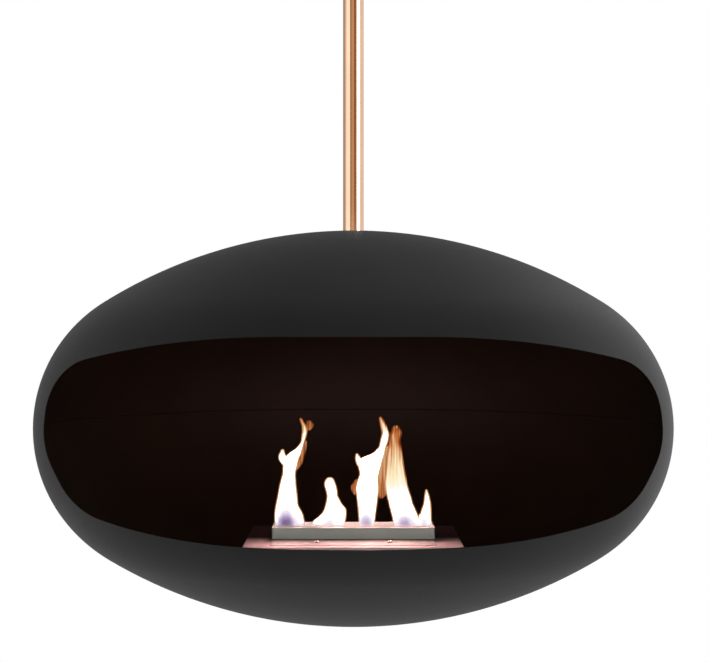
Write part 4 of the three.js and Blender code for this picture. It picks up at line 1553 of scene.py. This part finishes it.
# Flames as seen from the front, in millimetres from the axis and over the collar's top. A tongue
# is drawn by its stations (height, left edge, right edge) from the foot up, and by its tip.
TONGUES = {
    "left": {
        "stations": (
            (-14, -116, -73),
            (-3, -117, -72),
            (15, -118, -75),
            (30, -116, -83),
            (61, -110, -86),
            (76, -106, -87),
            (98, -105, -82),
            (107, -97, -78),
            (114, -86, -76.5),
            (124, -78, -73),
            (140, -76, -69),
            (148, -76.5, -70.5),
            (155, -79.5, -75),
        ),
        "tip": (160, -79.5),
        "cools_from": 132,
        "tip_heat": 0.55,
    },
    "left bump": {
        "stations": ((88, -105, -97), (98, -112, -98), (104, -112, -101), (109, -109, -103.5)),
        "tip": (113, -106),
    },
    "low": {
        "stations": (
            (-14, -64, -14),
            (-3, -63, -14),
            (6, -61, -12),
            (11, -53, -11),
            (18, -46, -10.5),
            (25, -43, -11),
            (30, -41.5, -16.5),
            (43, -39, -23.5),
            (52, -41, -24),
            (61, -44, -26.5),
            (66, -42, -29),
        ),
        "tip": (71, -35),
    },
    "middle": {
        "stations": (
            (-14, 10, 31),
            (-3, 9, 31),
            (26, 7, 35),
            (55, 3, 38),
            (67, 6, 37),
            (76, 10, 38.5),
            (90, 6.5, 42),
            (98, 7.5, 44),
            (102, 16, 45),
            (106, 28, 46.5),
            (116, 38.5, 48.5),
            (125, 40.5, 52),
            (137, 43.5, 54),
            (150, 40.5, 48.5),
            (157, 39, 45),
        ),
        "tip": (161.5, 40.5),
        "cools_from": 132,
        "tip_heat": 0.5,
    },
    "middle bump": {
        "stations": ((86, 7, 20), (94, 4, 15), (100, 2.5, 11), (103.5, 3.5, 8.5)),
        "tip": (106.5, 5.5),
    },
    "right": {
        "stations": (
            (-14, 62, 101),
            (-3, 61, 101),
            (9, 59, 99),
            (32, 53, 89),
            (61, 47, 80.5),
            (96, 49.5, 74.5),
            (125, 53.5, 70),
            (140, 57, 72.5),
            (145, 58, 69),
        ),
        "tip": (148.5, 63.5),
        "cools_from": 44,
        "tip_heat": 0.3,
    },
    "right bridge": {
        "stations": ((-14, 95, 116), (-3, 96, 117), (8, 96, 117), (14, 98, 112)),
        "tip": (17.5, 104),
    },
    "right spike": {
        "stations": (
            (-3, 99, 117),
            (18, 100.5, 116.5),
            (32, 105.5, 116),
            (44, 107, 113.5),
            (49, 108, 111.5),
        ),
        "tip": (53, 109.5),
    },
}

# Thin gas beside the tongues; "heats" are those of its foot and its tip.
VEILS = {
    "left strip": {
        "stations": (
            (80, -90, -86),
            (91, -85, -77),
            (102, -80.5, -74),
            (112, -77.5, -71.5),
            (120, -75.5, -70.5),
        ),
        "tip": (126, -71.5),
        "heats": (0.3, 0.4),
    },
    "left curl": {
        "stations": ((141, -69, -65.5), (144, -70, -62), (149, -69.5, -59.5), (153, -70, -61.5)),
        "tip": (156, -67),
        "heats": (0.35, 0.25),
    },
    "middle lobe": {
        "stations": ((44, 2.5, 6), (47, 0, 8), (55, -4, 8), (61, -1.5, 9), (65, 2, 9)),
        "tip": (67.5, 5),
        "heats": (0.3, 0.35),
    },
    "between": {
        "stations": (
            (38, 40, 43),
            (45, 36, 50),
            (67, 36, 48),
            (82, 37, 50),
            (97, 42, 52),
            (110, 45, 55),
        ),
        "tip": (118, 52),
        "heats": (0.3, 0.62),
        "setback": 8,
    },
}

# Violet feet: middle, half width, how far they fade upwards, and depth of the colour.
FEET = ((-100, 15, 22, 1.0), (-35, 9, 10, 0.2), (19, 11, 15, 0.48), (77, 13, 13, 0.55), (106, 6, 8, 0.2))
FOOT_LEVEL = 7  # up to where a violet foot is deepest, over the collar's top
FOOT_TAPER = 0.5  # how much narrower a violet foot is at its top
FOOT_POWER = 1.5  # power by which its violet fades upwards
PALE_VIOLET = 0.1  # where a flame's white has just turned pale violet
COOLING = 0.75  # power of the share of its upper part that a tongue has cooled by

# Layers of a tongue from the heart outwards. An outer layer is wider and flatter than an inner one.
LAYERS = (
    # name, rims and fringes that it is wider, depth and heat as shares of the heart's, thickness
    ("flame-hearts", -2, 0, 1.0, 1.0, 1.0),
    ("flame-glow", -1, 0, 0.55, 0.76, 0.7),
    ("flame-rims", 0, 0, 0.35, 0.58, 0.5),
    ("flame-fringes", 0, 1, 0.2, 0.36, 0.3),
)

# The same for veils, but with the depth as a share of a tongue's.
VEIL_LAYERS = (
    ("flame-veils", -1, 0, 0.6, 1.0, 0.5),
    ("flame-wisps", 0, 1, 0.4, 0.6, 0.3),
)


def between(start, end, share):
    """The value that lies at a share of the way from start to end."""
    return start + (end - start) * share


def clamped(value):
    """The value, kept between 0 and 1."""
    return min(1.0, max(0.0, value))


def flame_rings(tongue, wider):
    """A tongue's rings from foot to tip, as (height, middle, half width) in millimetres."""
    stations = tongue["stations"]
    rings = []
    for lower, upper in zip(stations, stations[1:] + stations[-1:]):
        steps = max(1, math.ceil((upper[0] - lower[0]) / RING_SPACING))
        for i in range(steps):
            height, left, right = (between(a, b, i / steps) for a, b in zip(lower, upper))
            half = max(LEAST_HALF, (right - left) / 2 + wider)
            rings.append((height, (left + right) / 2, half))
    last_height, last_middle, last_half = rings[-1]
    tip_height, tip_x = tongue["tip"]
    for share in TIP_SHARES:
        height = between(last_height, tip_height + wider, share)
        rings.append((height, between(last_middle, tip_x, share), last_half * math.sqrt(1 - share**2)))
    return rings


def violet_at(x, height):
    """How violet a flame is near the middles of its feet, from 0 to 1."""
    violet = PALE_VIOLET * clamped((FOOT_LEVEL - height) / FOOT_LEVEL * 2)
    for centre, half, fade, depth in FEET:
        rise = clamped((height - FOOT_LEVEL) / fade)
        across = (x - centre) / (half * (1 - FOOT_TAPER * rise))
        violet = max(violet, depth * max(0.0, 1 - across**2) * (1 - rise) ** FOOT_POWER)
    return violet


def flame_mesh():
    """An empty bmesh with the attributes that the flames' material reads."""
    bm = bmesh.new()
    return bm, [bm.verts.layers.float.new(key) for key in ("warmth", "violet", "thickness")]


def grow_tongue(bm, layers, tongue, wider, depth, thickness, heat_at):
    """Adds a closed tongue, ring by ring, and writes its heat, violet and thickness."""
    heat, violet, thick = layers
    flames = bpy.context.scene.fireplace_flames
    rings = flame_rings(tongue, wider)
    clear, bright = FOOT_FADE
    setback = tongue.get("setback", 0) * MILLIMETRE
    last_loop = []
    for i, (height, centre, half) in enumerate(rings):
        half_depth = min(half * flames.depth_share, flames.greatest_depth / MILLIMETRE) * depth
        stretch = Matrix.Diagonal((half * RING_SWELL * MILLIMETRE, half_depth * MILLIMETRE, 1, 1))
        place = (centre * MILLIMETRE, setback, COLLAR_TOP + height * MILLIMETRE)
        corners = bmesh.ops.create_circle(
            bm,
            cap_ends=i in (0, len(rings) - 1),
            segments=RING_STEPS,
            radius=1,
            matrix=Matrix.Translation(place) @ stretch,
        )["verts"]
        loop = list({edge for corner in corners for edge in corner.link_edges})
        for corner in corners:
            corner[heat] = heat_at(height)
            corner[violet] = violet_at(corner.co.x / MILLIMETRE, height)
            corner[thick] = thickness * clamped((height - clear) / (bright - clear))
        if last_loop:
            bmesh.ops.bridge_loops(bm, edges=last_loop + loop)
        last_loop = loop


def tongue_heat(tongue, share):
    """A function from height to heat: bright low down, and cooler towards a tip that cools."""
    start = tongue.get("cools_from", tongue["tip"][0])
    reach = max(1, tongue["tip"][0] - start)
    drop = 1 - tongue.get("tip_heat", 1.0)
    return lambda height: share * (1 - drop * clamped((height - start) / reach) ** COOLING)


def veil_heat(veil, share):
    """A function from height to heat for a veil."""
    foot, tip = veil["heats"]
    start, end = veil["stations"][0][0], veil["tip"][0]
    return lambda height: share * between(foot, tip, (height - start) / (end - start))


def add_flames(name, bm, gas):
    """Makes a layer of the flames."""
    bmesh.ops.recalc_face_normals(bm, faces=bm.faces)
    piece = add_piece(name, bm, "burner", [gas], even_normals=False)
    smoother = piece.modifiers.new("smooth", "SUBSURF")
    smoother.levels = 2
    smoother.render_levels = 2
    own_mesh(piece)


class FIREPLACE_OT_flames(bpy.types.Operator):
    """Add the flames over the slot"""

    bl_idname = "fireplace.add_flames"
    bl_label = "Flames"

    def execute(self, context):
        flames = context.scene.fireplace_flames
        gas = flame_material(flames)
        kinds = ((TONGUES, LAYERS, tongue_heat), (VEILS, VEIL_LAYERS, veil_heat))
        for shapes, layers, heat_of in kinds:
            for name, rims, fringes, depth, heat_share, thickness in layers:
                wider = (rims * flames.rim + fringes * flames.fringe) / MILLIMETRE
                bm, attributes = flame_mesh()
                for shape in shapes.values():
                    heat_at = heat_of(shape, heat_share)
                    grow_tongue(bm, attributes, shape, wider, depth, thickness, heat_at)
                add_flames(name, bm, gas)
        return {"FINISHED"}


# ---- Stage ---------------------------------------------------------------------------------------

FLOOR_DARK, FLOOR_LIGHT = (0.80, 0.80, 0.80), (0.84, 0.84, 0.84)


def add_camera(stage):
    """The camera, level and square to the mouth."""
    data = bpy.data.cameras.new("camera")
    data.sensor_fit = "HORIZONTAL"
    data.lens = stage.lens
    camera = bpy.data.objects.new("camera", data)
    camera.location = (stage.camera_side, -stage.camera_distance, stage.camera_height)
    camera.rotation_euler = (math.pi / 2, 0, 0)
    bpy.context.scene.collection.objects.link(camera)
    bpy.context.scene.camera = camera


def add_world(ambient):
    """White to the camera, to mirrors and to glass, and softer as a light."""
    world = bpy.data.worlds.new("studio")
    world.use_nodes = True
    bpy.context.scene.world = world
    nodes, links = world.node_tree.nodes, world.node_tree.links
    path = nodes.new("ShaderNodeLightPath")
    seen = path.outputs["Is Camera Ray"]
    for name in ("Is Glossy Ray", "Is Transmission Ray"):
        either = nodes.new("ShaderNodeMath")
        either.operation = "MAXIMUM"
        links.new(seen, either.inputs[0])
        links.new(path.outputs[name], either.inputs[1])
        seen = either.outputs[0]
    strength = nodes.new("ShaderNodeMapRange")
    strength.inputs["To Min"].default_value = ambient
    strength.inputs["To Max"].default_value = 1.0
    links.new(seen, strength.inputs["Value"])
    background = nodes["Background"]
    background.inputs["Color"].default_value = (1, 1, 1, 1)
    links.new(strength.outputs["Result"], background.inputs["Strength"])


def add_floor(stage):
    """A plain pale floor, far under the body."""
    bm = bmesh.new()
    bmesh.ops.create_circle(bm, cap_ends=True, segments=ROUND_STEPS, radius=stage.floor_radius)
    bmesh.ops.translate(bm, verts=bm.verts, vec=(0, 0, stage.floor_height))
    mesh = bpy.data.meshes.new("floor")
    bm.to_mesh(mesh)
    bm.free()
    floor = bpy.data.objects.new("floor", mesh)
    bpy.context.scene.collection.objects.link(floor)
    surface = Surface("floor")
    surface.set(Roughness=0.9, Specular_IOR_Level=0.1)
    tone = surface.ramp(surface.noise(3), (0.3, FLOOR_DARK), (0.7, FLOOR_LIGHT))
    surface.link(tone, surface.shader.inputs["Base Color"])
    mesh.materials.append(surface.material)


SOFTBOXES = (
    # name, size, strength in watts, place, aimed at the body's middle
    ("key", 1.6, 26.0, (2.6, -1.5, -0.4)),
    ("fill", 2.7, 8.0, (-2.6, -1.6, -0.8)),
    ("top", 2.0, 4.0, (0.3, 0.3, 1.4)),
)

# Cards that only mirrors see, stood round the axis: copper shows as copper between bright and dark.
CARDS = (
    # name, first and last bearing in degrees from -Y towards +X, distance, bottom, top, colour
    ("front-card", -36, 30, 3.0, -0.75, 3.0, (0.61, 0.42, 0.27)),
    ("left-strip", -34, -22, 2.9, -0.75, 0.7, (0.28, 0.18, 0.10)),
    ("right-strip", 11, 29, 2.9, -0.75, 0.7, (0.18, 0.07, 0.01)),
    ("rear-right-card", 95, 155, 3.0, -2.3, 3.0, (0.90, 0.90, 0.90)),
    ("rear-card", 155, 205, 3.0, -2.3, 3.0, (0.36, 0.36, 0.36)),
    ("rear-left-card", 205, 262, 3.0, -2.3, 3.0, (0.46, 0.46, 0.46)),
    ("upper-left-card", 262, 324, 2.9, 0.9, 3.0, (0.15, 0.15, 0.15)),
    ("upper-right-card", 30, 95, 2.9, 0.9, 3.0, (0.15, 0.15, 0.15)),
)

ROOF_RADIUS = 2.9
ROOF_HEIGHT = 3.0
ROOF_COLOUR = (0.15, 0.15, 0.15)


def add_card(name, bm, rgb):
    """A card that glows evenly and that only mirrors see."""
    mesh = bpy.data.meshes.new(name)
    bm.to_mesh(mesh)
    bm.free()
    card = bpy.data.objects.new(name, mesh)
    bpy.context.scene.collection.objects.link(card)
    for kind in ("camera", "diffuse", "shadow", "transmission", "volume_scatter"):
        setattr(card, "visible_" + kind, False)
    surface = Surface(name)
    surface.set(Base_Color=(0, 0, 0, 1), Specular_IOR_Level=0.0, Roughness=1.0)
    surface.set(Emission_Color=(*rgb, 1), Emission_Strength=1.0)
    mesh.materials.append(surface.material)


def add_cards():
    """The cards: upright strips bent round the axis, and a round one above."""
    for name, first, last, distance, bottom, top, rgb in CARDS:
        bm = bmesh.new()
        start = math.radians(first - 90)
        foot = Vector((distance * math.cos(start), distance * math.sin(start), bottom))
        ends = [bm.verts.new(foot), bm.verts.new(foot + Vector((0, 0, top - bottom)))]
        side = [bm.edges.new(ends)]
        turn = math.radians(last - first)
        bmesh.ops.spin(bm, geom=ends + side, axis=(0, 0, 1), angle=turn, steps=ROUND_STEPS // 6)
        add_card(name, bm, rgb)
    roof = bmesh.new()
    bmesh.ops.create_circle(roof, cap_ends=True, segments=ROUND_STEPS, radius=ROOF_RADIUS)
    bmesh.ops.translate(roof, verts=roof.verts, vec=(0, 0, ROOF_HEIGHT))
    add_card("roof-card", roof, ROOF_COLOUR)


def add_lights():
    """Soft lamps right, left and above."""
    for name, size, power, place in SOFTBOXES:
        data = bpy.data.lights.new(name, "AREA")
        data.shape = "DISK"
        data.size = size
        data.energy = power
        lamp = bpy.data.objects.new(name, data)
        lamp.location = place
        aim = Vector((0, 0, EQUATOR_Z)) - lamp.location
        lamp.rotation_euler = aim.to_track_quat("-Z", "Y").to_euler()
        bpy.context.scene.collection.objects.link(lamp)


class FIREPLACE_OT_stage(bpy.types.Operator):
    """Add the camera, the floor and the lights"""

    bl_idname = "fireplace.add_stage"
    bl_label = "Stage"

    def execute(self, context):
        stage = context.scene.fireplace_stage
        add_camera(stage)
        add_world(stage.ambient)
        add_floor(stage)
        add_cards()
        add_lights()
        context.scene.view_settings.view_transform = "Standard"
        context.scene.cycles.transparent_max_bounces = 24  # the flames are many clear layers deep
        return {"FINISHED"}


# ---- Panel, registration and run -----------------------------------------------------------------

SETTINGS = {
    "fireplace_body": BodySettings,
    "fireplace_ceiling": CeilingSettings,
    "fireplace_swivel": SwivelSettings,
    "fireplace_burner": BurnerSettings,
    "fireplace_edges": EdgeSettings,
    "fireplace_finish": FinishSettings,
    "fireplace_flames": FlameSettings,
    "fireplace_stage": StageSettings,
}

OPERATORS = (
    FIREPLACE_OT_stage,
    FIREPLACE_OT_ceiling,
    FIREPLACE_OT_canopy,
    FIREPLACE_OT_pole,
    FIREPLACE_OT_swivel,
    FIREPLACE_OT_cover,
    FIREPLACE_OT_shells,
    FIREPLACE_OT_brackets,
    FIREPLACE_OT_burner,
    FIREPLACE_OT_shutter,
    FIREPLACE_OT_flames,
)


class FIREPLACE_PT_panel(bpy.types.Panel):
    """Lists the settings and the pieces"""

    bl_idname = "FIREPLACE_PT_panel"
    bl_label = "Hanging Fireplace"
    bl_space_type = "VIEW_3D"
    bl_region_type = "UI"
    bl_category = "Fireplace"

    def draw(self, context):
        for key, group in SETTINGS.items():
            column = self.layout.column(align=True)
            for name in group.__annotations__:
                column.prop(getattr(context.scene, key), name)
        for operator in OPERATORS:
            self.layout.operator(operator.bl_idname)


def register():
    """Registers the settings, the operators and the panel."""
    for kind in (*SETTINGS.values(), *OPERATORS, FIREPLACE_PT_panel):
        bpy.utils.register_class(kind)
    for key, group in SETTINGS.items():
        setattr(bpy.types.Scene, key, PointerProperty(type=group))


def unregister():
    """Removes what register adds."""
    for key in SETTINGS:
        delattr(bpy.types.Scene, key)
    for kind in (FIREPLACE_PT_panel, *reversed(OPERATORS), *SETTINGS.values()):
        bpy.utils.unregister_class(kind)


def main():
    """Registers the add-on and adds every piece."""
    register()
    for operator in OPERATORS:
        group, name = operator.bl_idname.split(".")
        getattr(getattr(bpy.ops, group), name)()


if __name__ == "__main__":
    main()
